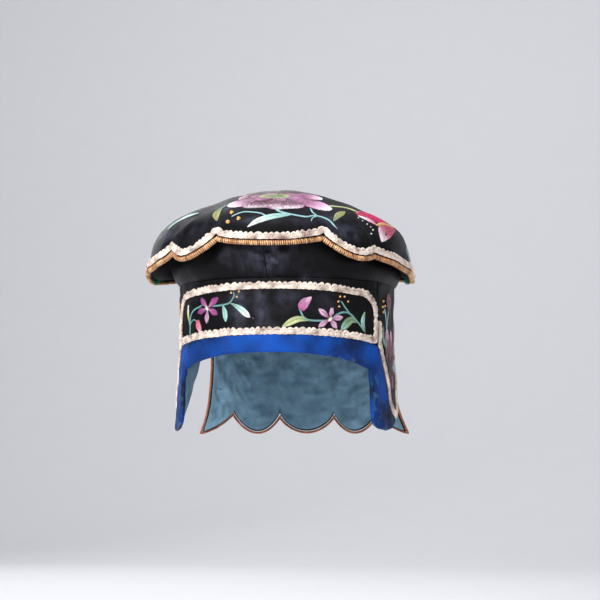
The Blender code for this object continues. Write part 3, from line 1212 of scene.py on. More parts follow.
class GeometryTree(Bench):
    """Builds one geometry node tree with named inputs and runs it on meshes."""

    def __init__(self, name: str) -> None:
        """Start the tree, with a mesh going in and one coming out.

        Args:
            name: The tree's name.
        """
        super().__init__(bpy.data.node_groups.new(name, "GeometryNodeTree"))
        self.tree.interface.new_socket(name="Mesh", in_out="INPUT", socket_type="NodeSocketGeometry")
        self.tree.interface.new_socket(name="Mesh", in_out="OUTPUT", socket_type="NodeSocketGeometry")
        self.entry = self.tree.nodes.new("NodeGroupInput")
        self.exit = self.tree.nodes.new("NodeGroupOutput")

    def wants(self, name: str, kind: str = "Float") -> Socket:
        """Add a named input."""
        self.tree.interface.new_socket(name=name, in_out="INPUT", socket_type="NodeSocket" + kind)
        return self.entry.outputs[name]

    def named(self, name: str, kind: str = "FLOAT") -> Socket:
        """A named attribute's value."""
        node = self.add("GeometryNodeInputNamedAttribute", name, data_type=kind)
        return next(socket for socket in node.outputs if socket.enabled)

    def noise(self, scale: float) -> Socket:
        """A slow change from place to place, from 0 to 1.

        Args:
            scale: How many changes to a metre.

        Returns:
            The value.
        """
        node = self.add("ShaderNodeTexNoise", None)
        node.inputs["Scale"].default_value = scale
        return node.outputs[0]

    def scaled(self, direction: Socket, length: Socket) -> Socket:
        """A direction at another length.

        Args:
            direction: The direction.
            length: Its new length.

        Returns:
            The scaled direction.
        """
        node = self.add("ShaderNodeVectorMath", direction, operation="SCALE")
        self.put(node.inputs["Scale"], length)
        return node.outputs[0]

    def random(self, low: object, high: object, seed: object) -> Socket:
        """A seeded value between two others, one for each copy.

        Args:
            low: The least value.
            high: The greatest.
            seed: Which values.

        Returns:
            The value.
        """
        node = self.add("FunctionNodeRandomValue", data_type="FLOAT")
        sockets = [socket for socket in node.inputs if socket.enabled]
        for socket, given in zip((sockets[0], sockets[1], sockets[-1]), (low, high, seed)):
            self.put(socket, given)
        return next(socket for socket in node.outputs if socket.enabled)

    def circle(self, radius: object, sides: object) -> Socket:
        """A round section.

        Args:
            radius: Its radius.
            sides: How many sides it has.

        Returns:
            The section.
        """
        node = self.add("GeometryNodeCurvePrimitiveCircle", sides)
        self.put(node.inputs["Radius"], radius)
        return node.outputs[0]

    def tube(self, curve: Socket, radius: object, sides: object, taper: object = 1.0) -> Socket:
        """A capped tube along a curve."""
        section = self.circle(radius, sides)
        return self.add("GeometryNodeCurveToMesh", curve, section, taper, True).outputs[0]

    def close(self, geometry: Socket) -> None:
        """End the tree: real faces, smooth, with their finish on.

        Args:
            geometry: What the tree has made.
        """
        real = self.add("GeometryNodeRealizeInstances", geometry).outputs[0]
        smooth = self.add("GeometryNodeSetShadeSmooth", real).outputs[0]
        dressed = self.add("GeometryNodeSetMaterial", smooth, None, self.wants("Finish", "Material"))
        self.tree.links.new(dressed.outputs[0], self.exit.inputs[0])

    def run(self, piece: Piece, **values: object) -> Piece:
        """Turn a piece's mesh into what the tree makes of it.

        Args:
            piece: The piece, whose mesh goes in.
            values: The tree's inputs, whose names are written with underscores.

        Returns:
            The piece with its new mesh and no modifier.
        """
        names = {
            item.name.lower().replace(" ", "_"): item.identifier
            for item in self.tree.interface.items_tree
            if item.in_out == "INPUT"
        }
        modifier = piece.modifiers.new(self.tree.name, "NODES")
        modifier.node_group = self.tree
        for name, value in values.items():
            modifier[names[name]] = value.material() if isinstance(value, Finish) else value
        graph = bpy.context.evaluated_depsgraph_get()
        made = bpy.data.meshes.new_from_object(piece.evaluated_get(graph))
        piece.modifiers.remove(modifier)
        before, piece.data = piece.data, made
        made.name = piece.name
        bpy.data.meshes.remove(before)
        return piece


# Noise scales to a metre, and how far a strand's plait and swing stray with them.
UNEVEN_PLAIT = 95.0
SLOW_STRAY = 70.0
QUICK_SWING = 190.0
PLAIT_SHIFT = 2.4
LEAST_SWING = 0.1
SWING_RANGE = 1.8

# The wraps of a cord, and a knot's coil: steps to a turn, turns, start and end radius, and height.
RING_SIDES = 12
STRIP_SIDES = 5
WRAP_SIZES = (0.95, 1.06)
WRAP_ROLL = 0.3
KNOT_COIL = (9, 2.6, 0.30, 0.12, 0.34)


def thread_tree() -> GeometryTree:
    """Stitches: each chain of edges becomes one thread, thinned by its taper.

    Returns:
        The tree.
    """
    tree = GeometryTree("thread")
    width, sides = tree.wants("Width"), tree.wants("Sides", "Int")
    curve = tree.add("GeometryNodeMeshToCurve", tree.entry.outputs[0]).outputs[0]
    tree.close(tree.tube(curve, tree.times(width, 0.5), sides, tree.named(TAPER)))
    return tree


def strand_tree() -> GeometryTree:
    """One strand of a braid, which swings from side to side and up and down along its path.

    Returns:
        The tree.
    """
    tree = GeometryTree("strand")
    thick, offset, swing, period, phase = map(
        tree.wants, ("Thickness", "Offset", "Swing", "Period", "Phase")
    )
    power, lift, bob, spacing, stray = map(tree.wants, ("Power", "Lift", "Bob", "Spacing", "Stray"))
    curve = tree.add("GeometryNodeMeshToCurve", tree.entry.outputs[0]).outputs[0]
    fine = tree.add("GeometryNodeResampleCurve", curve, mode="LENGTH")
    tree.put(fine.inputs["Length"], spacing)
    length = tree.add("GeometryNodeSplineParameter").outputs["Length"]
    uneven, slow, quick = (tree.noise(scale) for scale in (UNEVEN_PLAIT, SLOW_STRAY, QUICK_SWING))
    shift = tree.times(tree.less(uneven, 0.5), PLAIT_SHIFT)
    turns = tree.plus(tree.plus(tree.maths("DIVIDE", length, period), phase), shift)
    wave = tree.maths("ABSOLUTE", tree.maths("SINE", tree.times(turns, math.pi)))
    swung = tree.less(tree.times(tree.maths("POWER", wave, power), 2.0), 1.0)
    wander = tree.times(stray, tree.less(slow, 0.5))
    reach = tree.times(swing, tree.plus(LEAST_SWING, tree.times(quick, SWING_RANGE)))
    aside = tree.plus(tree.plus(offset, wander), tree.times(reach, swung))
    nod = tree.maths("SINE", tree.times(turns, 2 * math.tau))
    up = tree.plus(lift, tree.times(bob, nod))
    side = tree.scaled(tree.named(SIDE, "FLOAT_VECTOR"), aside)
    rise = tree.scaled(tree.named(RISE, "FLOAT_VECTOR"), up)
    moved = tree.add("GeometryNodeSetPosition", fine.outputs[0])
    tree.put(moved.inputs["Offset"], tree.vector("ADD", side, rise))
    tree.close(tree.tube(moved.outputs[0], tree.times(thick, 0.5), 7))
    return tree


def wrap_tree() -> GeometryTree:
    """Turns of gilt strip round a cord, each a little askew.

    Returns:
        The tree.
    """
    tree = GeometryTree("wraps")
    radius, strip, thin = map(tree.wants, ("Radius", "Strip", "Thin"))
    count = tree.wants("Count", "Int")
    lean, stray = map(tree.wants, ("Lean", "Stray"))
    seed = tree.wants("Seed", "Int")
    curve = tree.add("GeometryNodeMeshToCurve", tree.entry.outputs[0]).outputs[0]
    dots = tree.add("GeometryNodeCurveToPoints", curve, count, mode="COUNT")
    turned = tree.add(
        "FunctionNodeAxesToRotation",
        dots.outputs["Tangent"],
        tree.named(RISE, "FLOAT_VECTOR"),
        primary_axis="Z",
        secondary_axis="Y",
    )
    ring = tree.circle(radius, RING_SIDES)
    shape = tree.add("GeometryNodeTransform", tree.circle(1.0, STRIP_SIDES))
    tree.put(shape.inputs["Scale"], tree.add("ShaderNodeCombineXYZ", thin, strip, 1.0).outputs[0])
    hoop = tree.add("GeometryNodeCurveToMesh", ring, shape.outputs[0], 1.0, False)
    placed = tree.add("GeometryNodeInstanceOnPoints", dots.outputs[0])
    tree.put(placed.inputs["Instance"], hoop.outputs[0])
    tree.put(placed.inputs["Rotation"], turned.outputs[0])
    amount = tree.random(tree.less(lean, stray), tree.plus(lean, stray), seed)
    tilt = tree.add("ShaderNodeCombineXYZ", tree.times(amount, WRAP_ROLL), amount, 0.0)
    tilted = tree.add("GeometryNodeRotateInstances", placed.outputs[0])
    tree.put(tilted.inputs["Rotation"], tilt.outputs[0])
    sized = tree.add("GeometryNodeScaleInstances", tilted.outputs[0])
    tree.put(sized.inputs["Scale"], tree.random(*WRAP_SIZES, tree.plus(seed, 7.0)))
    tree.close(sized.outputs[0])
    return tree


def knot_tree() -> GeometryTree:
    """French knots: a coil of thread on each point, as large as the point's size.

    Returns:
        The tree.
    """
    tree = GeometryTree("knots")
    thread = tree.wants("Thread")
    coil = tree.add("GeometryNodeCurveSpiral", *KNOT_COIL)
    bead = tree.tube(coil.outputs[0], thread, 6)
    dots = tree.add("GeometryNodeMeshToPoints", tree.entry.outputs[0], mode="VERTICES")
    placed = tree.add("GeometryNodeInstanceOnPoints", dots.outputs[0])
    tree.put(placed.inputs["Instance"], bead)
    facing = tree.add(
        "FunctionNodeAxesToRotation",
        tree.named(RISE, "FLOAT_VECTOR"),
        tree.named(SIDE, "FLOAT_VECTOR"),
        primary_axis="Z",
        secondary_axis="X",
    )
    tree.put(placed.inputs["Rotation"], facing.outputs[0])
    tree.put(placed.inputs["Scale"], tree.named("size"))
    tree.close(placed.outputs[0])
    return tree


@dataclass
class Trees:
    """The geometry trees, each built once."""

    thread: GeometryTree = field(default_factory=thread_tree)
    strand: GeometryTree = field(default_factory=strand_tree)
    wrap: GeometryTree = field(default_factory=wrap_tree)
    knot: GeometryTree = field(default_factory=knot_tree)


def new_piece(name: str, points: Array, edges: object = (), faces: object = ()) -> Piece:
    """An object with a mesh of points given in millimetres.

    Args:
        name: The piece's name.
        points: The mesh's points.
        edges: Its edges, as pairs of points.
        faces: Its faces, as rows of points.

    Returns:
        The piece, in the scene.
    """
    mesh = bpy.data.meshes.new(name)
    mesh.from_pydata((np.asarray(points).reshape(-1, 3) * MM).tolist(), list(edges), list(faces))
    piece = bpy.data.objects.new(name, mesh)
    bpy.context.scene.collection.objects.link(piece)
    return piece


def store(piece: Piece, name: str, kind: str, values: Array) -> None:
    """Keep one value for each point of a piece's mesh.

    Args:
        piece: The piece.
        name: What the values are called.
        kind: Their type.
        values: The values.
    """
    made = piece.data.attributes.new(name, kind, "POINT")
    key = {"FLOAT": "value", "FLOAT_VECTOR": "vector", "FLOAT_COLOR": "color"}[kind]
    made.data.foreach_set(key, np.asarray(values, np.float32).ravel())


def hand_over(piece: Piece, slot: str = "", nodes: Sequence[str] = ()) -> None:
    """Tell the frame what a finished piece is.

    Args:
        piece: The piece.
        slot: The record's slot that its finish comes from, if it has one.
        nodes: The construction nodes that it stands for.
    """
    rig.ride(piece, "root")
    if slot:
        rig.slot(piece, slot)
    if nodes:
        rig.replaces(piece, *nodes)
    log.info("%s: %d faces", piece.name, len(piece.data.polygons))


@dataclass(frozen=True)
class Cut:
    """The flat cut that a cloth was made from, in millimetres and square millimetres.

    Attributes:
        piece: The cloth's name.
        width: The cut's width.
        length: The cut's length.
        area: The cut's area, which is less than a rectangle's.
        held: How the cloth is held.
        rests_on: What it lies on or hangs from.
        trims: The pieces sewn on it.
    """

    piece: str
    width: float
    length: float
    area: float
    held: Hold
    rests_on: tuple[str, ...]
    trims: tuple[str, ...] = ()

    def declare(self) -> None:
        """Tell the frame that the piece is a sheet."""
        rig.sheet(
            bpy.data.objects[self.piece],
            flat=(self.width * MM, self.length * MM),
            held=self.held.value,
            rests_on=self.rests_on,
            with_pieces=self.trims,
            area=self.area * MM**2,
        )


CROWN_HALVES = ("crown_left_satin", "crown_right_satin")


def cuts() -> list[Cut]:
    """Every cloth of the hat and the cut it comes from.

    Returns:
        The cuts.
    """
    lid_trims = ("lid_braid_looped", "lid_cord_gilt", "lid_peony", "lid_sprays", "lid_winged_insect")
    panel_trims = ("panel_braid_looped", "panel_spray_left", "panel_spray_right")
    found = [Cut(half, 127.0, 260.0, 23500.0, Hold.STRETCHED, ()) for half in CROWN_HALVES]
    found += [
        Cut("lid_satin", 252.0, 218.0, 43200.0, Hold.DRAPED, CROWN_HALVES, lid_trims),
        Cut("forehead_satin", 177.0, 45.0, 7200.0, Hold.HUNG, CROWN_HALVES, panel_trims),
        Cut("forehead_binding_silk", 156.0, 18.0, 2600.0, Hold.FOLDED, ("forehead_satin",)),
        Cut("neck_satin", 172.0, 104.0, 15200.0, Hold.HUNG, CROWN_HALVES, ("neck_cord_copper",)),
        Cut("neck_lining_cotton", 170.0, 103.0, 14800.0, Hold.HUNG, ("neck_satin",)),
    ]
    for side in Side:
        ear = f"ear_{side.word}_"
        trims = (ear + "braid_looped", ear + "spray")
        found += [
            Cut(ear + "satin", 76.0, 100.0, 5800.0, Hold.HUNG, CROWN_HALVES, trims),
            Cut(ear + "lining", 75.0, 99.0, 5400.0, Hold.HUNG, (ear + "satin",)),
            Cut(ear + "binding_silk", 36.0, 58.0, 1500.0, Hold.FOLDED, (ear + "satin",)),
        ]
    return found


@dataclass
class Cloth:
    """A cloth wall cut from a face: a dense grid with an outer and an inner side.

    Attributes:
        name: The piece's name.
        ground: The face that it follows.
        across: The columns' places.
        along: The rows' places in each column, from top to hem.
        outer: The outer side's lift off the face, a number or one for each place.
        inner: The inner side's lift.
        closed: Whether the last column joins the first.
        round_over: How far the hem's fold is rounded past its last row, in the rows' own measure.
        fold_steps: How finely that fold is rounded.
    """

    name: str
    ground: Ground
    across: Array
    along: Array
    outer: Array | float
    inner: Array | float
    closed: bool = False
    round_over: float = 0.0
    fold_steps: int = 6

    def loops(self) -> Array:
        """The sections: down the outer side, round the hem and up the inner side.

        Returns:
            One section for each column.
        """
        across = np.repeat(np.asarray(self.across)[:, None], self.along.shape[1], axis=1)
        outer = np.broadcast_to(self.outer, self.along.shape)
        inner = np.broadcast_to(self.inner, self.along.shape)
        rows = [self.ground.point(across, self.along, outer)]
        if self.round_over:
            middle, half = (outer[:, -1] + inner[:, -1]) / 2, (outer[:, -1] - inner[:, -1]) / 2
            for angle in np.linspace(0, math.pi, self.fold_steps)[1:-1]:
                end = self.along[:, -1] + self.round_over * math.sin(angle)
                lift = middle + half * math.cos(angle)
                rows.append(self.ground.point(across[:, -1], end, lift)[:, None])
        rows.append(self.ground.point(across, self.along, inner)[:, ::-1])
        return np.concatenate(rows, axis=1)

    def build(self, finish: Finish, shape: Callable[[Array], Array] | None = None) -> Piece:
        """Make the cloth's mesh, with a flat map in metres.

        Args:
            finish: What it is dressed in.
            shape: A last change to the sections, if there is one.

        Returns:
            The piece.
        """
        loops = self.loops() if shape is None else shape(self.loops())
        columns, size = loops.shape[:2]
        index = np.arange(columns * size).reshape(columns, size)
        ring = np.concatenate([index, index[:1]]) if self.closed else index
        turned = np.roll(ring, -1, axis=1)
        faces = np.stack([ring[:-1], turned[:-1], turned[1:], ring[1:]], axis=-1).reshape(-1, 4)
        strides = np.linalg.norm(np.diff(loops, axis=0, append=loops[:1]), axis=2).mean(axis=1)
        u = np.concatenate([[0.0], np.cumsum(strides)])[: len(ring)]
        drops = np.linalg.norm(np.diff(loops, axis=1), axis=2).mean(axis=0)
        v = np.concatenate([[0.0], np.cumsum(drops)])
        v_next = np.concatenate([v[1:], [v[-1] + 1.0]])
        lows, highs = (u[:-1, None], v[None]), (u[1:, None], v_next[None])
        ends = ((lows[0], lows[1]), (lows[0], highs[1]), (highs[0], highs[1]), (highs[0], lows[1]))
        corners = np.stack([np.stack(np.broadcast_arrays(*end), -1) for end in ends], axis=2)
        corners = corners.reshape(-1, 2)
        faces, corners = faces.tolist(), (corners * MM).ravel().tolist()
        if not self.closed:
            for column in (index[0], index[-1]):
                for row in range(size // 2 - 1):
                    back = size - 1 - row
                    faces.append([column[row], column[row + 1], column[back - 1], column[back]])
                    corners.extend([0.0, v[row] * MM, 0.0, v[row + 1] * MM] * 2)
        piece = new_piece(self.name, loops, faces=faces)
        piece.data.uv_layers.new(name=CLOTH_MAP).data.foreach_set("uv", corners)
        weld(piece)
        piece.data.materials.append(finish.material())
        return piece


def weld(piece: Piece, angle: float = 60.0) -> None:
    """Join doubled points, drop faces with no area, turn every face outwards and shade smoothly.

    Args:
        piece: The piece.
        angle: The bend in degrees from which an edge looks sharp.
    """
    shape = bmesh.new()
    shape.from_mesh(piece.data)
    bmesh.ops.remove_doubles(shape, verts=shape.verts, dist=1e-5)
    bmesh.ops.dissolve_degenerate(shape, edges=shape.edges, dist=1e-6)
    bmesh.ops.recalc_face_normals(shape, faces=shape.faces)
    shape.to_mesh(piece.data)
    shape.free()
    piece.data.shade_smooth()
    piece.data.set_sharp_from_angle(angle=math.radians(angle))


@dataclass(frozen=True)
class Rub:
    """A spot seen as an oval on the front of the hat: painted sheen on satin, and painted highlight and wear on silk.

    Attributes:
        x: Its middle to the side.
        z: Its middle's height.
        wide: Half its width.
        tall: Half its height.
        strength: How strong it is at its middle, up to 1.
    """

    x: float
    z: float
    wide: float
    tall: float
    strength: float

    def read(self, x: Array, z: Array) -> Array:
        """How strong it is at places seen from the front."""
        oval = np.exp(-(((x - self.x) / self.wide) ** 2) - ((z - self.z) / self.tall) ** 2)
        return self.strength * oval


def rub(piece: Piece, places: Sequence[Rub]) -> None:
    """Mark where painted sheen lies on a satin piece.

    Args:
        piece: The piece.
        places: The spots of painted sheen.
    """
    x, y, z = (np.array([v.co for v in piece.data.vertices]) / MM).T
    total = np.zeros(len(x))
    for place in places:
        total = np.maximum(total, place.read(x, z))
    # The painted sheen, kept to the front half.
    store(piece, PAINTED_SHEEN, "FLOAT", total * (y < 0))


def rows_between(top: object, foot: Array, count: int) -> Array:
    """Row places in each column, evenly from top to foot."""
    top, foot = np.broadcast_arrays(np.asarray(top, float), np.asarray(foot, float))
    return top[:, None] + (foot - top)[:, None] * np.linspace(0, 1, count)[None, :]


def dense(path: Array, step: float, closed: bool) -> Array:
    """A path with more points, none of its own left out.

    Args:
        path: The path, one row for each point.
        step: The widest spacing left.
        closed: Whether it joins on to its start.

    Returns:
        The path with its new points.
    """
    ends = np.roll(path, -1, axis=0) if closed else path[1:]
    out = []
    for start, end in zip(path, ends):
        count = max(1, math.ceil(np.linalg.norm(end - start) / step))
        out.append(start + (end - start) * np.linspace(0, 1, count, endpoint=False)[:, None])
    if not closed:
        out.append(path[-1:])
    return np.concatenate(out)


@dataclass
class Trim:
    """A braid or cord laid along a path on a face.

    Attributes:
        ground: The face.
        path: The face's coordinates of the middle of the trim.
        lift: The middle's lift off the face.
        closed: Whether it joins on to its start.
        facing: 1 where its left edge is to the left of the travel, and -1 where it is turned over.
    """

    ground: Ground
    path: Array
    lift: float
    closed: bool
    facing: Array | float = 1.0

    def line(self, name: str) -> tuple[Piece, float]:
        """The path as a chain of edges that knows its sideways and outward directions.

        Args:
            name: The chain's name.

        Returns:
            The chain, and its length in millimetres.
        """
        points = self.ground.point(self.path[:, 0], self.path[:, 1], self.lift)
        aside = self.ground.beside(self.path, 1.0, self.closed)
        side = unit(self.ground.point(aside[:, 0], aside[:, 1], self.lift) - points)
        rise = self.ground.rise(self.path[:, 0], self.path[:, 1])
        count = len(points)
        edges = [(i, (i + 1) % count) for i in range(count if self.closed else count - 1)]
        chain = new_piece(name, points, edges)
        store(chain, SIDE, "FLOAT_VECTOR", side * np.broadcast_to(self.facing, count)[:, None])
        store(chain, RISE, "FLOAT_VECTOR", rise)
        strides = np.diff(points, axis=0, append=points[:1] if self.closed else points[-1:])
        return chain, float(np.linalg.norm(strides, axis=1).sum())


@dataclass(frozen=True)
class Strand:
    """How one strand of a braid runs, in millimetres."""

    offset: float
    swing: float
    phase: float
    power: float
    lift: float
    bob: float
    thickness: float


@dataclass(frozen=True)
class LoopedBraid:
    """Cream braid: a flat plaited band with a row of small loops along its upper edge."""

    period: float = 4.1
    spacing: float = 0.45
    stray: float = 0.9
    strands: tuple[Strand, ...] = (
        Strand(-0.2, 0.0, 0.0, 1.0, 0.15, 0.0, 1.6),
        Strand(-1.35, 0.0, 0.0, 1.0, 0.15, 0.0, 1.6),
        Strand(0.85, 0.0, 0.0, 1.0, 0.12, 0.0, 1.35),
        Strand(1.0, 1.15, 0.0, 0.62, 0.55, 0.0, 1.2),
        Strand(0.85, 0.7, 0.0, 0.8, 0.9, 0.0, 1.05),
        Strand(-0.75, 0.62, 0.0, 2.0, 0.85, 0.26, 1.1),
        Strand(-0.75, 0.62, 0.5, 2.0, 0.85, 0.26, 1.1),
        Strand(-2.0, 0.16, 0.25, 2.0, 0.55, 0.08, 1.0),
    )

    def lay(self, name: str, trees: Trees, trim: Trim) -> Piece:
        """Plait the braid along a trim's path, its loops to the left of the travel.

        Args:
            name: The piece's name.
            trees: The geometry trees.
            trim: Where it is laid.

        Returns:
            The braid.
        """
        made = []
        for number, strand in enumerate(self.strands):
            chain, length = trim.line(f"{name}_strand_{number}")
            period = length / round(length / self.period) if trim.closed else self.period
            made.append(
                trees.strand.run(
                    chain,
                    thickness=strand.thickness * MM,
                    offset=strand.offset * MM,
                    swing=strand.swing * MM,
                    period=period * MM,
                    phase=strand.phase,
                    power=strand.power,
                    lift=strand.lift * MM,
                    bob=strand.bob * MM,
                    spacing=self.spacing * MM,
                    stray=self.stray * MM,
                    finish=CREAM_YARN,
                )
            )
        return join(name, made)


@dataclass(frozen=True)
class WrappedCord:
    """A round cord wound with gilt strip."""

    thickness: float
    pitch: float
    strip: float
    lean: float = 0.22
    stray: float = 0.16
    seed: int = 5
    thin: float = 0.26

    def lay(self, name: str, trees: Trees, trim: Trim, finish: Finish) -> Piece:
        """Lay the core along a trim's path and wind the strip round it.

        Args:
            name: The piece's name.
            trees: The geometry trees.
            trim: Where it is laid.
            finish: The strip's finish.

        Returns:
            The cord.
        """
        thin = self.thin
        core, length = trim.line(name + "_core")
        store(core, TAPER, "FLOAT", np.ones(len(core.data.vertices)))
        trees.thread.run(core, width=(self.thickness - 1.1 * thin) * MM, sides=12, finish=CORD_CORE)
        wraps, _ = trim.line(name + "_wraps")
        trees.wrap.run(
            wraps,
            radius=(self.thickness / 2 - thin) * MM,
            strip=self.strip / 2 * MM,
            thin=thin * MM,
            count=round(length / self.pitch),
            lean=self.lean,
            stray=self.stray,
            seed=self.seed,
            finish=finish,
        )
        return join(name, [wraps, core])


def join(name: str, pieces: list[Piece]) -> Piece:
    """Make one piece of several.

    Args:
        name: The piece's name.
        pieces: The pieces, which are used up.

    Returns:
        The one piece.
    """
    mesh = bpy.data.meshes.new(name)
    shape = bmesh.new()
    finishes: list[bpy.types.Material] = []
    for piece in pieces:
        own = list(piece.data.materials)
        finishes.extend(finish for finish in own if finish and finish not in finishes)
        before = len(shape.faces)
        shape.from_mesh(piece.data)
        shape.faces.ensure_lookup_table()
        for face in shape.faces[before:]:
            face.material_index = finishes.index(own[face.material_index])
            face.smooth = True
    shape.to_mesh(mesh)
    shape.free()
    for finish in finishes:
        mesh.materials.append(finish)
    for piece in pieces:
        bpy.data.objects.remove(piece, do_unlink=True)
    made = bpy.data.objects.new(name, mesh)
    bpy.context.scene.collection.objects.link(made)
    return made


def curve_through(points: Sequence[Pair], step: float = 0.6) -> Array:
    """A smooth curve through flat points.

    Args:
        points: The points.
        step: The spacing of the curve's own points in millimetres.

    Returns:
        The curve's points, one row each.
    """
    knots = np.array(points, float)
    if len(knots) == 2:
        count = max(2, math.ceil(np.linalg.norm(knots[1] - knots[0]) / step))
        return knots[0] + (knots[1] - knots[0]) * np.linspace(0, 1, count)[:, None]
    padded = np.concatenate([2 * knots[:1] - knots[1:2], knots, 2 * knots[-1:] - knots[-2:-1]])
    out = []
    for a, b, c, d in zip(padded, padded[1:], padded[2:], padded[3:]):
        count = max(2, math.ceil(np.linalg.norm(c - b) / step))
        t = np.linspace(0, 1, count, endpoint=False)[:, None]
        square, cube = 2 * a - 5 * b + 4 * c - d, 3 * b - a - 3 * c + d
        out.append(0.5 * (2 * b + (c - a) * t + square * t**2 + cube * t**3))
    out.append(knots[-1:])
    return np.concatenate(out)


class FlossColour(Enum):
    """The floss colours."""

    WHITE = linear(0.98, 0.95, 0.95)
    BLUSH = linear(0.94, 0.80, 0.87)
    LILAC = linear(0.78, 0.56, 0.72)
    MAUVE = linear(0.55, 0.31, 0.43)
    PLUM = linear(0.34, 0.18, 0.27)
    WINE = linear(0.30, 0.18, 0.21)
    DUSKY = linear(0.45, 0.31, 0.35)
    VIOLET = linear(0.50, 0.21, 0.47)
    MAGENTA = linear(0.72, 0.24, 0.56)
    ROSE = linear(0.80, 0.30, 0.42)
    HOT_PINK = linear(0.84, 0.17, 0.42)
    MINT = linear(0.66, 0.84, 0.80)
    PALE_MINT = linear(0.88, 0.96, 0.92)
    AQUA = linear(0.58, 0.74, 0.76)
    TEAL = linear(0.40, 0.60, 0.59)
    SAGE = linear(0.50, 0.62, 0.46)
    MOSS = linear(0.34, 0.38, 0.24)
    OLIVE = linear(0.64, 0.64, 0.40)
    STRAW = linear(0.80, 0.82, 0.60)
    GOLD = linear(0.88, 0.68, 0.40)
    INK = linear(0.05, 0.04, 0.06)


class Spine:
    """A smooth line down the middle of a petal or stem, which knows its directions."""

    def __init__(self, points: Sequence[Pair]) -> None:
        """Lay the line.

        Args:
            points: The flat points that it passes through.
        """
        self.middle = curve_through(points)
        self.run = walk(self.middle)
        self.length = self.run[-1]
        self.along = unit(np.gradient(self.middle, axis=0))
        self.left = np.stack([-self.along[:, 1], self.along[:, 0]], axis=1)

    def at(self, where: Array | float) -> list[Array]:
        """The flat point at a length along the line, and the directions to its left and along it."""
        tables = (self.middle, self.left, self.along)
        return [np.stack([np.interp(where, self.run, t[:, k]) for k in (0, 1)], axis=-1) for t in tables]


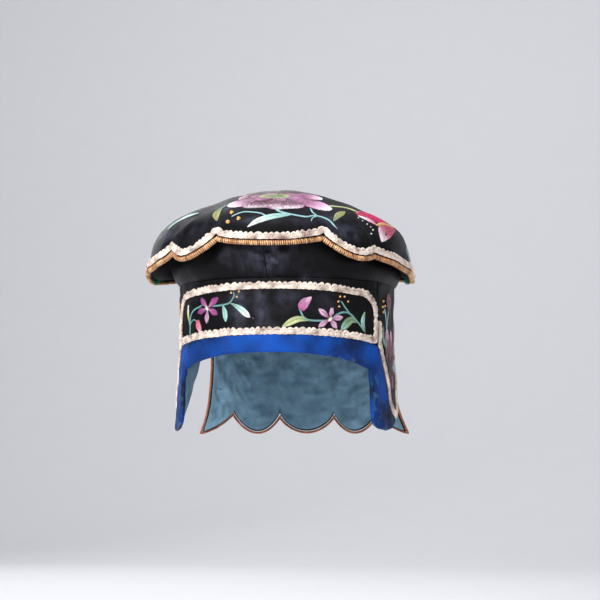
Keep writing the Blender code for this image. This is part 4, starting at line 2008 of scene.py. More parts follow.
@dataclass
class Needle:
    """Gathers stitches worked on one ground, then turns them into threads.

    Attributes:
        ground: The face that is embroidered.
        pitch: The spacing of satin stitches in millimetres.
        seed: Which small irregularities.
        point_gap: The spacing of a stitch's own points.
        uneven: How dark and how bright single stitches are.
        longest: The longest stitch that isn't worked as several.
        split: The lengths of those several.
        ragged: How far a row of stitches falls short of the outline or passes it.
        overlap: How far a stitch starts back under the one before.
        streak: How much neighbouring rows differ in brightness.
        blur: How far a stitch's colours stray along the petal.
        least: The narrowest part that is filled.
        shaded: The brightness of a leaf's darker half.
        knot_lift: The height of a knot's middle.
        knot_thread: A knot's thread, as a share of the knot's size.
    """

    ground: Ground
    pitch: float = 0.42
    seed: int = 3
    point_gap: float = 2.2
    uneven: Pair = (0.84, 1.08)
    longest: float = 9.0
    split: Pair = (4.0, 8.0)
    ragged: Pair = (-0.3, 0.5)
    overlap: float = 0.5
    streak: float = 0.13
    blur: Pair = (-0.07, 0.05)
    least: float = 0.12
    shaded: float = 0.88
    knot_lift: float = 0.15
    knot_thread: float = 0.17
    rows: list[Array] = field(default_factory=list)
    dyes: list[Array] = field(default_factory=list)
    tapers: list[Array] = field(default_factory=list)
    sizes: list[int] = field(default_factory=list)
    knots: list[tuple[float, float, float, Colour]] = field(default_factory=list)

    def __post_init__(self) -> None:
        """Start the seeded irregularities."""
        self.draw = np.random.default_rng(self.seed)

    def stitch(self, line: Array, colour: Colour | Array, low: float = 0.12, arch: float = 0.35) -> None:
        """Work one stitch along a flat line.

        Args:
            line: The flat points that it passes over, two at least.
            colour: One colour, or one for each end.
            low: The thread's height over the cloth at its ends.
            arch: How much higher its middle is.
        """
        run = walk(line)
        count = max(3, math.ceil(run[-1] / self.point_gap) + 1)
        share = np.linspace(0, 1, count)
        u, v = (np.interp(share * run[-1], run, line[:, k]) for k in (0, 1))
        swell = np.sin(share * math.pi) ** 0.7
        self.rows.append(self.ground.at(u, v, low + arch * swell))
        ends = np.atleast_2d(colour)
        dye = ends[0] + (ends[-1] - ends[0]) * share[:, None]
        self.dyes.append(dye * self.draw.uniform(*self.uneven))
        self.tapers.append(0.55 + 0.45 * np.sin(share * math.pi) ** 0.4)
        self.sizes.append(count)

    def split_row(self, start: float, end: float, length: float) -> list[Array]:
        """Divide one row of a petal into stitches that a needle can work.

        Args:
            start: Where the row starts, as a share of the petal's length.
            end: Where it ends.
            length: The petal's length.

        Returns:
            Four places along each stitch.
        """
        joins = [start]
        while end - joins[-1] > self.longest / length:
            joins.append(joins[-1] + self.draw.uniform(*self.split) / length)
        joins.append(end + self.draw.uniform(*self.ragged) / length)
        starts = [max(0.0, join - self.overlap / length) for join in joins[:-1]]
        return [np.linspace(a, b, 4) for a, b in zip(starts, joins[1:])]

    def petal(
        self,
        spine: Sequence[Pair],
        width: float,
        shades: Sequence[FlossColour],
        fill: Fill = Fill.ALONG,
        widest: float = 0.55,
        blunt: float = 0.6,
        low: float = 0.12,
        arch: float = 0.4,
        slant: float = 0.55,
    ) -> None:
        """Fill a petal or leaf with satin stitch.

        Args:
            spine: Flat points down its middle, from its base to its tip.
            width: Its greatest width in millimetres.
            shades: Its colours from base to tip.
            fill: How the stitches lie.
            widest: Where along it that it is widest, from 0 to 1.
            blunt: How rounded its ends are: smaller is blunter.
            low: The height of the stitches' ends.
            arch: How much higher their middles are.
            slant: How far slanted stitches lean forward, as a share of the half width.
        """
        line = Spine(spine)
        power = math.log(0.5) / math.log(widest)
        colours = np.array([shade.value for shade in shades])
        steps = np.linspace(0, 1, len(colours))

        def half(share: Array) -> Array:
            """Half the width at shares of the length."""
            return width / 2 * np.sin(np.clip(share, 0, 1) ** power * math.pi) ** blunt

        def spots(share: Array, off: Array) -> Array:
            """The flat points at shares of the length, each so far off the middle."""
            centre, aside, _ = line.at(share * line.length)
            return centre + aside * off[:, None]

        def dye(share: float) -> Array:
            """The colour at a share of the length."""
            return np.array([np.interp(share, steps, colours[:, k]) for k in range(3)])

        if fill is Fill.ALONG:
            fine = np.linspace(0, 1, 200)
            widths = half(fine)
            for off in np.arange(-width / 2 + self.pitch / 2, width / 2, self.pitch):
                inside = fine[widths >= abs(off)]
                if len(inside) >= 3:
                    streak = 1 + self.streak * math.sin(off * 2.4 + self.seed)
                    for share in self.split_row(inside[0], inside[-1], line.length):
                        blur = self.draw.uniform(*self.blur)
                        pair = np.stack([dye(share[0] + blur), dye(share[-1] + blur)]) * streak
                        self.stitch(spots(share, np.full(len(share), off)), pair, low, arch)
            return
        tilt = slant * width / 2 / line.length
        for share in np.arange(self.pitch / line.length, 1.0, self.pitch / line.length):
            reach = float(half(np.array([share]))[0])
            if reach < self.least:
                continue
            ahead = min(1.0, share + tilt * reach / (width / 2))
            if fill is Fill.ACROSS:
                places = np.array([share - tilt * reach / width, share, ahead])
                self.stitch(spots(places, np.array([-reach, 0.0, reach])), dye(share), low, arch)
                continue
            places = np.array([share, (share + ahead) / 2, ahead])
            offs = np.array([0.06, reach / 2, reach])
            for way, bright in ((-1, self.shaded), (1, 1.0)):
                self.stitch(spots(places, offs * way), dye(share) * bright, low, arch)

    def leaf(
        self,
        spine: Sequence[Pair],
        width: float,
        shades: Sequence[FlossColour],
        widest: float = 0.45,
        blunt: float = 0.8,
    ) -> None:
        """Fill a leaf with two rows of stitches that slant forward from its middle.

        Args:
            spine: Flat points down its middle, from its base to its tip.
            width: Its greatest width in millimetres.
            shades: Its colours from base to tip.
            widest: Where along it that it is widest, from 0 to 1.
            blunt: How rounded its ends are: smaller is blunter.
        """
        self.petal(spine, width, shades, Fill.FEATHER, widest, blunt)

    def stem(self, points: Sequence[Pair], width: float, colour: FlossColour, end: float = 1.0) -> None:
        """Work a stem in close slanted stitches.

        Args:
            points: The flat points that it passes through.
            width: Its width in millimetres.
            colour: Its floss.
            end: Its width at its end, as a share of the width.
        """
        spine = Spine(points)
        for where in np.arange(0, spine.length, self.pitch):
            reach = width / 2 * (1 + (end - 1) * (where / spine.length))
            centre, aside, ahead = spine.at(where)
            slope = aside * reach, ahead * width
            line = np.stack([centre - slope[0] - slope[1], centre, centre + slope[0] + slope[1]])
            self.stitch(line, colour.value, low=0.1, arch=0.3)

    def knot(self, at: Pair, size: float, colour: FlossColour = FlossColour.GOLD) -> None:
        """Work a French knot."""
        self.knots.append((*at, size, colour.value))

    def dots(self, line: Sequence[Pair], count: int, size: float, colour: FlossColour) -> None:
        """Work knots along a line.

        Args:
            line: Flat points that the line passes through.
            count: How many knots.
            size: Their size.
            colour: Their floss.
        """
        points = curve_through(line)
        for index in np.linspace(0, len(points) - 1, count).round().astype(int):
            self.knot(tuple(points[index]), size, colour)

    def knots_at(self, places: Sequence[Pair], size: float) -> None:
        """Work a gold knot at each of several places."""
        for at in places:
            self.knot(at, size)

    def build(self, name: str, trees: Trees, width: float = 0.5) -> Piece:
        """Turn all the stitches and knots into one piece.

        Args:
            name: The piece's name.
            trees: The geometry trees.
            width: The threads' thickness in millimetres.

        Returns:
            The piece.
        """
        points = np.concatenate(self.rows)
        starts = np.concatenate([[0], np.cumsum(self.sizes)])
        edges = [(i, i + 1) for a, b in zip(starts, starts[1:]) for i in range(a, b - 1)]
        chain = new_piece(name + "_threads", points, edges)
        dyes = np.concatenate(self.dyes)
        store(chain, THREAD_COLOUR, "FLOAT_COLOR", np.hstack([dyes, np.ones((len(dyes), 1))]))
        store(chain, TAPER, "FLOAT", np.concatenate(self.tapers))
        made = [trees.thread.run(chain, width=width * MM, sides=5, finish=SILK_FLOSS)]
        if self.knots:
            table = np.array([[u, v, size] for u, v, size, _ in self.knots])
            across, along = self.ground.place(table[:, 0], table[:, 1])
            spots = new_piece(name + "_knots", self.ground.point(across, along, self.knot_lift))
            store(spots, RISE, "FLOAT_VECTOR", self.ground.rise(across, along))
            store(spots, SIDE, "FLOAT_VECTOR", unit(self.draw.normal(size=(len(table), 3))))
            store(spots, "size", "FLOAT", table[:, 2] * MM)
            dye = np.array([[*colour, 1.0] for *_, colour in self.knots])
            store(spots, THREAD_COLOUR, "FLOAT_COLOR", dye)
            made.append(trees.knot.run(spots, thread=self.knot_thread, finish=SILK_FLOSS))
        return join(name, made)


@dataclass
class Lid:
    """The scalloped lid with its braid, gilt cord and tufts."""

    ground: LidGround = field(default_factory=LidGround)
    cloth: float = 2.0
    inner_arc: float = 80.0
    cord: float = 3.6
    braid_width: float = 4.8
    braid_inset: float = 0.9
    braid_shift: float = 0.95
    gap: float = 0.35
    column_step: float = 1.6
    inner_rows: int = 26
    border_rows: int = 15
    round_over: float = 0.6
    wrap_pitch: float = 1.45
    wrap_strip: float = 1.35
    tuft_threads: int = 110
    tuft_inset: float = 3.4
    tuft_middle: Pair = (3.0, -3.6)
    tuft_reach: Place = (4.2, 5.2, 5.2)
    tuft_green: Colour = linear(0.16, 0.55, 0.46)
    # Spots of painted sheen on the lid's satin.
    rubs: tuple[Rub, ...] = (
        Rub(-71.0, -33.0, 12.0, 4.0, 0.6),
        Rub(-6.0, -27.0, 14.0, 3.0, 0.7),
        Rub(42.0, -27.0, 8.0, 5.0, 0.8),
        Rub(54.0, -35.0, 9.0, 5.0, 1.0),
    )

    def edge(self, step: float) -> Array:
        """The lid's outline, as turns and arc lengths."""
        turns = self.ground.turns(step)
        return np.stack([turns, self.ground.reach(turns)], axis=1)

    def build(self, trees: Trees) -> None:
        """Build the lid and its trims.

        Args:
            trees: The geometry trees.
        """
        turns = self.ground.turns(self.column_step)
        middle = np.linspace(0, self.inner_arc, self.inner_rows)
        border = rows_between(self.inner_arc, self.ground.reach(turns), self.border_rows)[:, 1:]
        along = np.hstack([np.repeat(middle[None], len(turns), axis=0), border])
        cloth = Cloth("lid_satin", self.ground, turns, along, 0.0, -self.cloth, True, self.round_over)
        satin = cloth.build(BLACK_SATIN)
        rub(satin, self.rubs)
        hand_over(satin, "black_satin", ["lid"])
        edge = self.edge(1.0)
        inset = self.braid_inset + self.braid_width / 2 - self.braid_shift
        line = self.ground.beside(edge, -inset, True)
        trim = Trim(self.ground, line, BRAID_LIFT, True, -1.0)
        braid = LoopedBraid().lay("lid_braid_looped", trees, trim)
        hand_over(braid, "cream_braid", ["lid_braid"])
        line = self.ground.beside(edge, self.cord / 2 + self.gap, True)
        cord = WrappedCord(self.cord, self.wrap_pitch, self.wrap_strip)
        trim = Trim(self.ground, line, -self.cloth / 2, True)
        made = cord.lay("lid_cord_gilt", trees, trim, GILT_STRIP)
        hand_over(made, "gold_wrapped_cord", ["lid_cord"])
        for side in Side:
            self.tuft(side, trees)

    def tuft(self, side: Side, trees: Trees) -> None:
        """A tuft of green floss under one tip of the lid.

        Args:
            side: The wearer's side of the tip.
            trees: The geometry trees.
        """
        tip = side.value * 90.0 + self.ground.twist
        draw = np.random.default_rng(60 + side.value)
        needle = Needle(self.ground, seed=70 + side.value)
        arc = float(self.ground.reach(np.array([tip]))[0]) - self.tuft_inset
        out, down = self.tuft_middle
        centre = self.ground.point(np.array([tip]), np.array([arc + out]), down)[0]
        sizes, points = np.array(self.tuft_reach), 5
        share = np.linspace(0.05, 1, points)[:, None]
        for _ in range(self.tuft_threads):
            away = unit(draw.normal(size=3) * np.array([0.7, 1.0, 0.7]) - np.array([0, 0, 0.9]))
            bend = unit(np.cross(away, draw.normal(size=3))) * draw.uniform(0.1, 0.4)
            line = away * share + bend * share * (1 - share)
            needle.rows.append(centre + line * sizes * draw.uniform(0.7, 1))
            green = np.array(self.tuft_green) * draw.uniform(0.5, 1.6)
            needle.dyes.append(np.repeat(green[None], points, axis=0))
            needle.tapers.append(np.linspace(1.0, 0.5, points))
            needle.sizes.append(points)
        tuft = needle.build(f"tuft_{side.word}_floss", trees, 0.34)
        hand_over(tuft, "green_silk", [f"tuft_{side.word}"])


@dataclass
class Crown:
    """The crown's two halves, sewn along the middle."""

    ground: CrownGround = field(default_factory=CrownGround)
    cloth: float = 2.5
    reach: float = 127.0
    seam_gap: float = 0.5
    crowding: float = 0.12
    columns: int = 91
    top: Pair = (0.0, 70.0)
    top_rows: int = 15
    side: float = 72.0
    side_rows: int = 46
    # Spots of painted sheen on the crown's satin.
    rubs: tuple[Rub, ...] = (
        Rub(3.0, -46.0, 9.0, 14.0, 1.0),
        Rub(16.0, -40.0, 10.0, 9.0, 0.5),
        Rub(-20.0, -44.0, 10.0, 9.0, 0.25),
    )

    def build(self) -> None:
        """Build both halves."""
        top = np.linspace(*self.top, self.top_rows)
        along = np.concatenate([top, np.linspace(self.side, self.reach, self.side_rows)])
        for side in Side:
            bend = np.linspace(0, 1, self.columns)
            turns = 180 * (bend - self.crowding * np.sin(math.tau * bend))
            ground = MirroredGround(self.ground, side)
            rows = np.repeat(along[None], len(turns), axis=0)
            cloth = Cloth(f"crown_{side.word}_satin", ground, turns, rows, 0.0, -self.cloth)
            piece = cloth.build(BLACK_SATIN, partial(self.trim_seam, side=side))
            rub(piece, self.rubs)
            hand_over(piece, "black_satin", [f"crown_{side.word}"])

    def trim_seam(self, loops: Array, side: Side) -> Array:
        """Keep one half's cloth on its own side of the seam.

        Args:
            loops: The half's sections.
            side: Which half.

        Returns:
            The sections, trimmed at the seam.
        """
        middle = self.ground.middle(loops[..., 2])
        off = np.maximum(side.value * (loops[..., 0] - middle), self.seam_gap / 2)
        loops[..., 0] = middle + side.value * off
        return loops


@dataclass
class Front:
    """The forehead panel with its braid, and the blue binding over the face opening."""

    panel_turn: float = 66.0
    join_turn: float = 64.5
    face_turn: float = 58.0
    rim: float = -115.5
    rim_drop: float = 10.5
    seam: float = -103.8
    seam_drop: float = 4.0
    cloth: float = 2.5
    silk: float = 3.2
    proud: float = 0.3
    gap: float = 0.35
    braid_side: float = 3.5
    braid_top: float = -70.2
    braid_top_drop: float = 3.2
    braid_foot: float = -101.0
    braid_foot_drop: float = 4.5
    corner: float = 13.0
    corner_length: float = 1.4
    turned_over: float = -92.0
    overlap: float = 0.9
    tuck: float = 0.32
    swell: float = 0.35
    columns: int = 130
    satin_rows: int = 32
    silk_rows: int = 16
    # Spots of painted sheen on the panel's satin.
    rubs: tuple[Rub, ...] = (
        Rub(-20.0, -86.0, 5.0, 14.0, 0.75),
        Rub(-4.0, -82.0, 4.0, 14.0, 0.9),
        Rub(12.0, -78.0, 7.0, 7.0, 0.65),
    )
    ground: WallGround = WallGround(
        relief=Relief(0.22, 24.0, 37),
        creases=(
            Crease(((0.0, -66.0), (1.5, -80.0), (-1.0, -103.0)), -0.7, 2.2),
            Crease(((-6.0, -74.0), (-4.5, -96.0)), 0.5, 3.0),
            Crease(((7.0, -70.0), (6.0, -90.0)), 0.4, 3.5),
        ),
    )
    silk_ground: WallGround = WallGround(
        relief=Relief(0.22, 13.0, 53),
        creases=(
            Crease(((20.0, -105.0), (28.0, -115.0)), 0.35, 2.0),
            Crease(((-52.0, -107.0), (-40.0, -118.0)), 0.4, 2.2),
            Crease(((52.0, -109.0), (60.0, -118.0)), 0.45, 2.2),
        ),
    )

    def seam_height(self, turn: Array) -> Array:
        """Where the binding meets the panel."""
        return self.seam - self.seam_drop * (np.abs(turn) / self.face_turn) ** 2

    def rim_height(self, turn: Array) -> Array:
        """The arched lower edge of the face opening."""
        return self.rim - self.rim_drop * (np.abs(turn) / self.face_turn) ** 2.2

    def build(self, trees: Trees) -> None:
        """Build the panel, the binding and the braid.

        Args:
            trees: The geometry trees.
        """
        turns = np.linspace(-self.join_turn, self.join_turn, self.columns)
        rows = rows_between(BAND_TOP - self.gap, self.seam_height(turns), self.satin_rows)
        cloth = Cloth("forehead_satin", self.ground, turns, rows, 0.0, -self.cloth)
        satin = cloth.build(BLACK_SATIN)
        rub(satin, self.rubs)
        hand_over(satin, "black_satin", ["front_panel"])
        self.bind()
        line = dense(self.border(), 1.0, True)
        facing = 1 - 2 * ease((line[:, 1] - self.turned_over) / 4)
        trim = Trim(self.ground, line, BRAID_LIFT, True, facing)
        braid = LoopedBraid().lay("panel_braid_looped", trees, trim)
        hand_over(braid, "cream_braid", ["panel_braid"])

    def bind(self) -> None:
        """The blue silk folded over the face opening's upper edge."""
        turns = np.linspace(-self.face_turn, self.face_turn, self.columns)
        top = self.seam_height(turns) + self.overlap
        down = np.linspace(0, 1, self.silk_rows)
        rows = rows_between(top, self.rim_height(turns) + self.silk / 2, len(down))
        tuck = self.tuck * (1 - down**0.5)[None]
        outer = self.proud - tuck + self.swell * np.sin(down * math.pi)[None]
        inner = np.full(outer.shape, self.proud - self.silk)
        name, hem = "forehead_binding_silk", -self.silk / 2
        cloth = Cloth(name, self.silk_ground, turns, rows, outer, inner, False, hem)
        piece = cloth.build(BLUE_SILK)
        SilkWear().mark(piece)
        hand_over(piece, "blue_silk", ["forehead_binding"])

    def border(self) -> Array:
        """The middle of the panel's braid: square at the foot and rounded at the top.

        Returns:
            The face's coordinates, one row for each point.
        """
        side = self.panel_turn - self.braid_side
        here = self.ground.point(np.array([side, side + 0.01]), np.array([self.braid_top] * 2), 0.0)
        degree = np.linalg.norm(here[1] - here[0]) / 0.01
        turns = np.linspace(-side, side, 19)
        foot = np.stack([turns, self.braid_foot - self.braid_foot_drop * (turns / side) ** 2], axis=1)
        low, high = self.braid_foot + self.corner / 2, self.braid_top - 1.5 * self.corner
        rise = np.array([[side, low], [side, high]])
        angle = np.radians(np.arange(0, 91, 15))
        bend = np.stack(
            [
                side - (1 - np.cos(angle)) * self.corner * self.corner_length / degree,
                self.braid_top - self.braid_top_drop - (1 - np.sin(angle)) * self.corner,
            ],
            axis=1,
        )
        last = bend[-1, 0]
        turns = np.linspace(last, -last, 15)[1:-1]
        top = np.stack([turns, self.braid_top - self.braid_top_drop * (turns / last) ** 2], axis=1)
        flip = np.array([-1.0, 1.0])
        return np.concatenate([foot, rise, bend, top, bend[::-1] * flip, rise[::-1] * flip])


@dataclass(frozen=True)
class SilkWear:
    """Where the blue silk is painted light and shade, and where it is worn.

    The middle of the forehead and the folded corners are painted bright, as if lit, and the rest darker, as if turned
    from the light; the silk is worn along the lowest fold, inside the flaps and at their foot.
    """

    # plain, forehead, forehead_back, corner and fold place the painted light; blotches add uneven dye; the other
    # fields place the wear.
    plain: float = 0.04
    forehead: Pair = (0.85, 48.0)
    forehead_back: float = -40.0
    corner: Rub = Rub(66.0, -114.0, 7.0, 7.0, 0.8)
    fold: Rub = Rub(72.0, -138.0, 3.5, 16.0, 0.75)
    blotches: Relief = Relief(0.5, 20.0, 91)
    low_fold: Rub = Rub(44.0, -120.0, 12.0, 2.5, 0.8)
    inside: Pair = (0.6, 74.0)
    inside_top: float = -122.0
    foot: Pair = (0.35, -158.0)
    foot_edge: Pair = (69.0, 3.0)
    foot_edge_top: float = -128.0

    def mark(self, piece: Piece) -> None:
        """Store both on a piece of silk.

        Args:
            piece: The piece.
        """
        x, y, z = (np.array([v.co for v in piece.data.vertices]) / MM).T
        out = np.abs(x)
        # Painted light: bright along the forehead's middle and on the corners, with blotches of uneven dye.
        bright, width = self.forehead
        front = bright * (np.exp(-((x / width) ** 2)) * (y < self.forehead_back))
        shade = self.plain + front + self.corner.read(out, z) + self.fold.read(out, z)
        shade = shade + 0.3 * self.blotches.read(x + y, z)
        thin, reach = self.inside
        inside = np.hypot(x, y * 0.9) < reach
        middle, wide = self.foot_edge
        edge = np.exp(-(((out - middle) / wide) ** 2)) * (z < self.foot_edge_top)
        foot = np.clip((self.foot[1] - z) / 8, 0, 1) + edge
        worn = self.low_fold.read(x, z) + thin * inside * (z < self.inside_top) + self.foot[0] * foot
        store(piece, "shade", "FLOAT", np.clip(shade, 0, 1))
        store(piece, "worn", "FLOAT", np.clip(worn, 0, 1))


@dataclass
class EarFlap:
    """One ear flap: satin outside, pale lining, blue binding and braid."""

    side: Side
    front: Front
    edge_turn: float = 58.3
    upright_end: float = 64.4
    binding_turn: float = 64.5
    satin_start: float = 64.9
    satin_bound: float = 83.5
    bound_end: float = 83.7
    open_start: float = 84.0
    back: float = 118.0
    cloth: float = 1.6
    lining: float = 1.0
    silk: float = 3.2
    proud: float = 0.3
    gap: float = 0.35
    braid_top: float = -92.0
    braid_inset: float = 0.6
    braid_middle: float = 2.4
    curl: float = 1.1
    inner_curl: float = 0.8
    curl_turns: float = 1.6
    rows: int = 40
    silk_rows: int = 34
    pucker: Relief = Relief(0.3, 9.0, 47)
    girth: float = 1.35
    binding_reach: tuple[Pair, ...] = (
        (64.5, 56.0), (67, 54.4), (70, 47.2), (73, 34.7), (76.5, 16.4), (80, 9.0), (83, 2.5),
    )
    hem_places: tuple[Pair, ...] = (
        (58, -160.5), (60, -164.0), (64, -166.5), (72, -167.5), (80, -165.5),
        (88, -159.0), (95, -147.0), (104, -125.0), (112, -99.0), (118, -76.0),
    )

    @property
    def ground(self) -> MirroredGround:
        """The flap's face."""
        return MirroredGround(WallGround(relief=Relief(0.25, 18.0, 43)), self.side)

    def hem(self, turn: Array) -> Array:
        """The flap's lower outline."""
        return np.interp(turn, *zip(*self.hem_places))

    def width(self, turn: Array) -> Array:
        """How far up from the foot the binding reaches, less and less towards its end."""
        return np.interp(turn, *zip(*self.binding_reach))

    def satin_hem(self, turn: Array) -> Array:
        """Where the satin ends, above the binding where there is one."""
        bound = self.hem(turn) + self.width(turn) + self.gap
        return np.where(turn < self.open_start, bound, self.hem(turn))

    def build(self, trees: Trees) -> None:
        """Build the flap's four pieces.

        Args:
            trees: The geometry trees.
        """
        word, ground = self.side.word, self.ground
        bound = np.linspace(self.satin_start, self.satin_bound, 26)
        turns = np.concatenate([bound, np.linspace(self.open_start, self.back, 44)])
        top = BAND_TOP - self.gap
        rows = rows_between(top, self.satin_hem(turns), self.rows)
        satin = Cloth(f"ear_{word}_satin", ground, turns, rows, 0.0, -self.cloth)
        hand_over(satin.build(BLACK_SATIN), "black_satin", [f"ear_flap_{word}"])
        rows = rows_between(top - 1.0, self.satin_hem(turns) + 1.5, self.rows)
        inner = -self.cloth - self.gap
        lengths = np.repeat(turns[:, None] * self.girth, self.rows, axis=1)
        pucker = self.pucker.read(lengths, rows)
        fade = ease(np.minimum(rows - rows[:, -1:], rows[:, :1] - rows) / 4)
        back = inner - self.lining + pucker * fade
        lining = Cloth(f"ear_{word}_lining", ground, turns, rows, inner, back)
        hand_over(lining.build(PALE_LINING), "pale_blue_lining", [f"ear_lining_{word}"])
        self.bind(ground)
        line = dense(self.border(ground), 1.0, False)
        trim = Trim(ground, line, BRAID_LIFT, False)
        braid = LoopedBraid().lay(f"ear_{word}_braid_looped", trees, trim)
        hand_over(braid, "cream_braid", [f"ear_braid_{word}"])

    def bind(self, ground: Ground) -> None:
        """The binding down the face opening and round the flap's foot.

        Args:
            ground: The flap's face.
        """
        upright = np.linspace(self.edge_turn, self.upright_end, 12)
        turns = np.concatenate([upright, np.linspace(self.satin_start, self.bound_end, 30)])
        below_seam = self.front.seam_height(turns) - self.gap
        high = np.where(turns < self.binding_turn, below_seam, self.hem(turns) + self.width(turns))
        rows = rows_between(high, self.hem(turns) + self.silk / 2, self.silk_rows)
        edge = np.clip((turns - self.edge_turn) / self.curl_turns, 0, 1)[:, None]
        curl = self.curl * (1 - np.sqrt(1 - (1 - edge) ** 2))
        outer = self.proud - curl + np.zeros(rows.shape)
        inner = self.proud - self.silk + self.inner_curl * curl + np.zeros(rows.shape)
        silk = MirroredGround(WallGround(relief=Relief(0.3, 11.0, 59)), self.side)
        name = f"ear_{self.side.word}_binding_silk"
        piece = Cloth(name, silk, turns, rows, outer, inner, False, -self.silk / 2).build(BLUE_SILK)
        SilkWear().mark(piece)
        hand_over(piece, "blue_silk", [f"ear_binding_{self.side.word}"])

    def border(self, ground: Ground) -> Array:
        """The middle of the braid, which runs down beside the binding and on round the hem.

        Args:
            ground: The flap's face.

        Returns:
            The face's coordinates, one row for each point.
        """
        bends = (67, 70, 73, 76.5, 80, 87, 91, 95, 99.5, 104, 108, 112)
        turns = np.array([self.satin_start, *bends, self.back])
        edge = np.stack([turns, self.satin_hem(turns)], axis=1)
        edge = np.concatenate([[[turns[0], self.braid_top]], edge])
        return ground.beside(edge, self.braid_middle + self.braid_inset, False)


@dataclass
class NeckFlap:
    """The neck flap: satin outside, a wrinkled pale lining and a cord round its edge."""

    ground: NeckGround = field(default_factory=NeckGround)
    edge: ScallopedEdge = ScallopedEdge(
        (
            Scallop(0.0, 0.25, -165.5, -152.0, 0.0),
            Scallop(0.25, 0.72, -152.0, -150.5, -14.5),
            Scallop(0.72, 1.0, -150.5, -166.0, -2.0),
        )
    )
    cloth: float = 1.6
    lining: float = 1.0
    gap: float = 0.35
    cord: float = 1.9
    cord_start: float = 6.0
    coarse: Relief = Relief(0.75, 15.0, 67)
    fine: Relief = Relief(0.5, 6.0, 68)
    satin_rows: int = 46
    lining_rows: int = 60
    cloth_step: float = 0.022
    cord_step: float = 0.008
    side_points: int = 60
    wrap_pitch: float = 0.95
    wrap_strip: float = 0.85

    def columns(self, step: float) -> Array:
        """Places across the flap, with one on every cusp."""
        half = np.concatenate([self.edge.places(step), [1.0]])
        return np.concatenate([-half[:0:-1], half])

    def foot(self, across: Array) -> Array:
        """The height of the scalloped foot."""
        return self.edge.reach(np.abs(across))

    def build(self, trees: Trees) -> None:
        """Build the flap's three pieces.

        Args:
            trees: The geometry trees.
        """
        top = BAND_TOP - self.gap
        across = self.columns(self.cloth_step)
        rows = rows_between(top, self.foot(across), self.satin_rows)
        satin = Cloth("neck_satin", self.ground, across, rows, 0.0, -self.cloth)
        hand_over(satin.build(BLACK_SATIN), "black_satin", ["neck_flap"])
        inner = -self.cloth - self.gap
        rows = rows_between(top - 1.0, self.foot(across) + 1.2, self.lining_rows)
        flat = np.repeat(across[:, None] * self.ground.half_width, self.lining_rows, axis=1)
        pucker = self.coarse.read(flat, rows) + self.fine.read(flat, rows * 1.4)
        fade = ease(np.minimum(rows - rows[:, -1:], rows[:, :1] - rows) / 5)
        fade = fade * ease((1 - np.abs(across)) / 0.05)[:, None]
        back = inner - self.lining + pucker * fade
        lining = Cloth("neck_lining_cotton", self.ground, across, rows, inner, back)
        hand_over(lining.build(PALE_LINING), "pale_blue_lining", ["neck_lining"])
        fine = self.columns(self.cord_step)
        foot = np.stack([fine, self.foot(fine)], axis=1)
        start, ends = top - self.cord_start, foot[0, 1]
        side = np.ones(self.side_points)
        left = np.stack([-side, np.linspace(start, ends, self.side_points)], axis=1)
        right = np.stack([side, np.linspace(ends, start, self.side_points)], axis=1)
        edge = np.concatenate([left[:-1], foot, right[1:]])
        line = self.ground.beside(edge, -(self.cord / 2 + self.gap), False)
        trim = Trim(self.ground, line, -self.cloth / 2, False)
        cord = WrappedCord(self.cord, self.wrap_pitch, self.wrap_strip)
        made = cord.lay("neck_cord_copper", trees, trim, COPPER_STRIP)
        hand_over(made, "gold_wrapped_cord", ["neck_cord"])


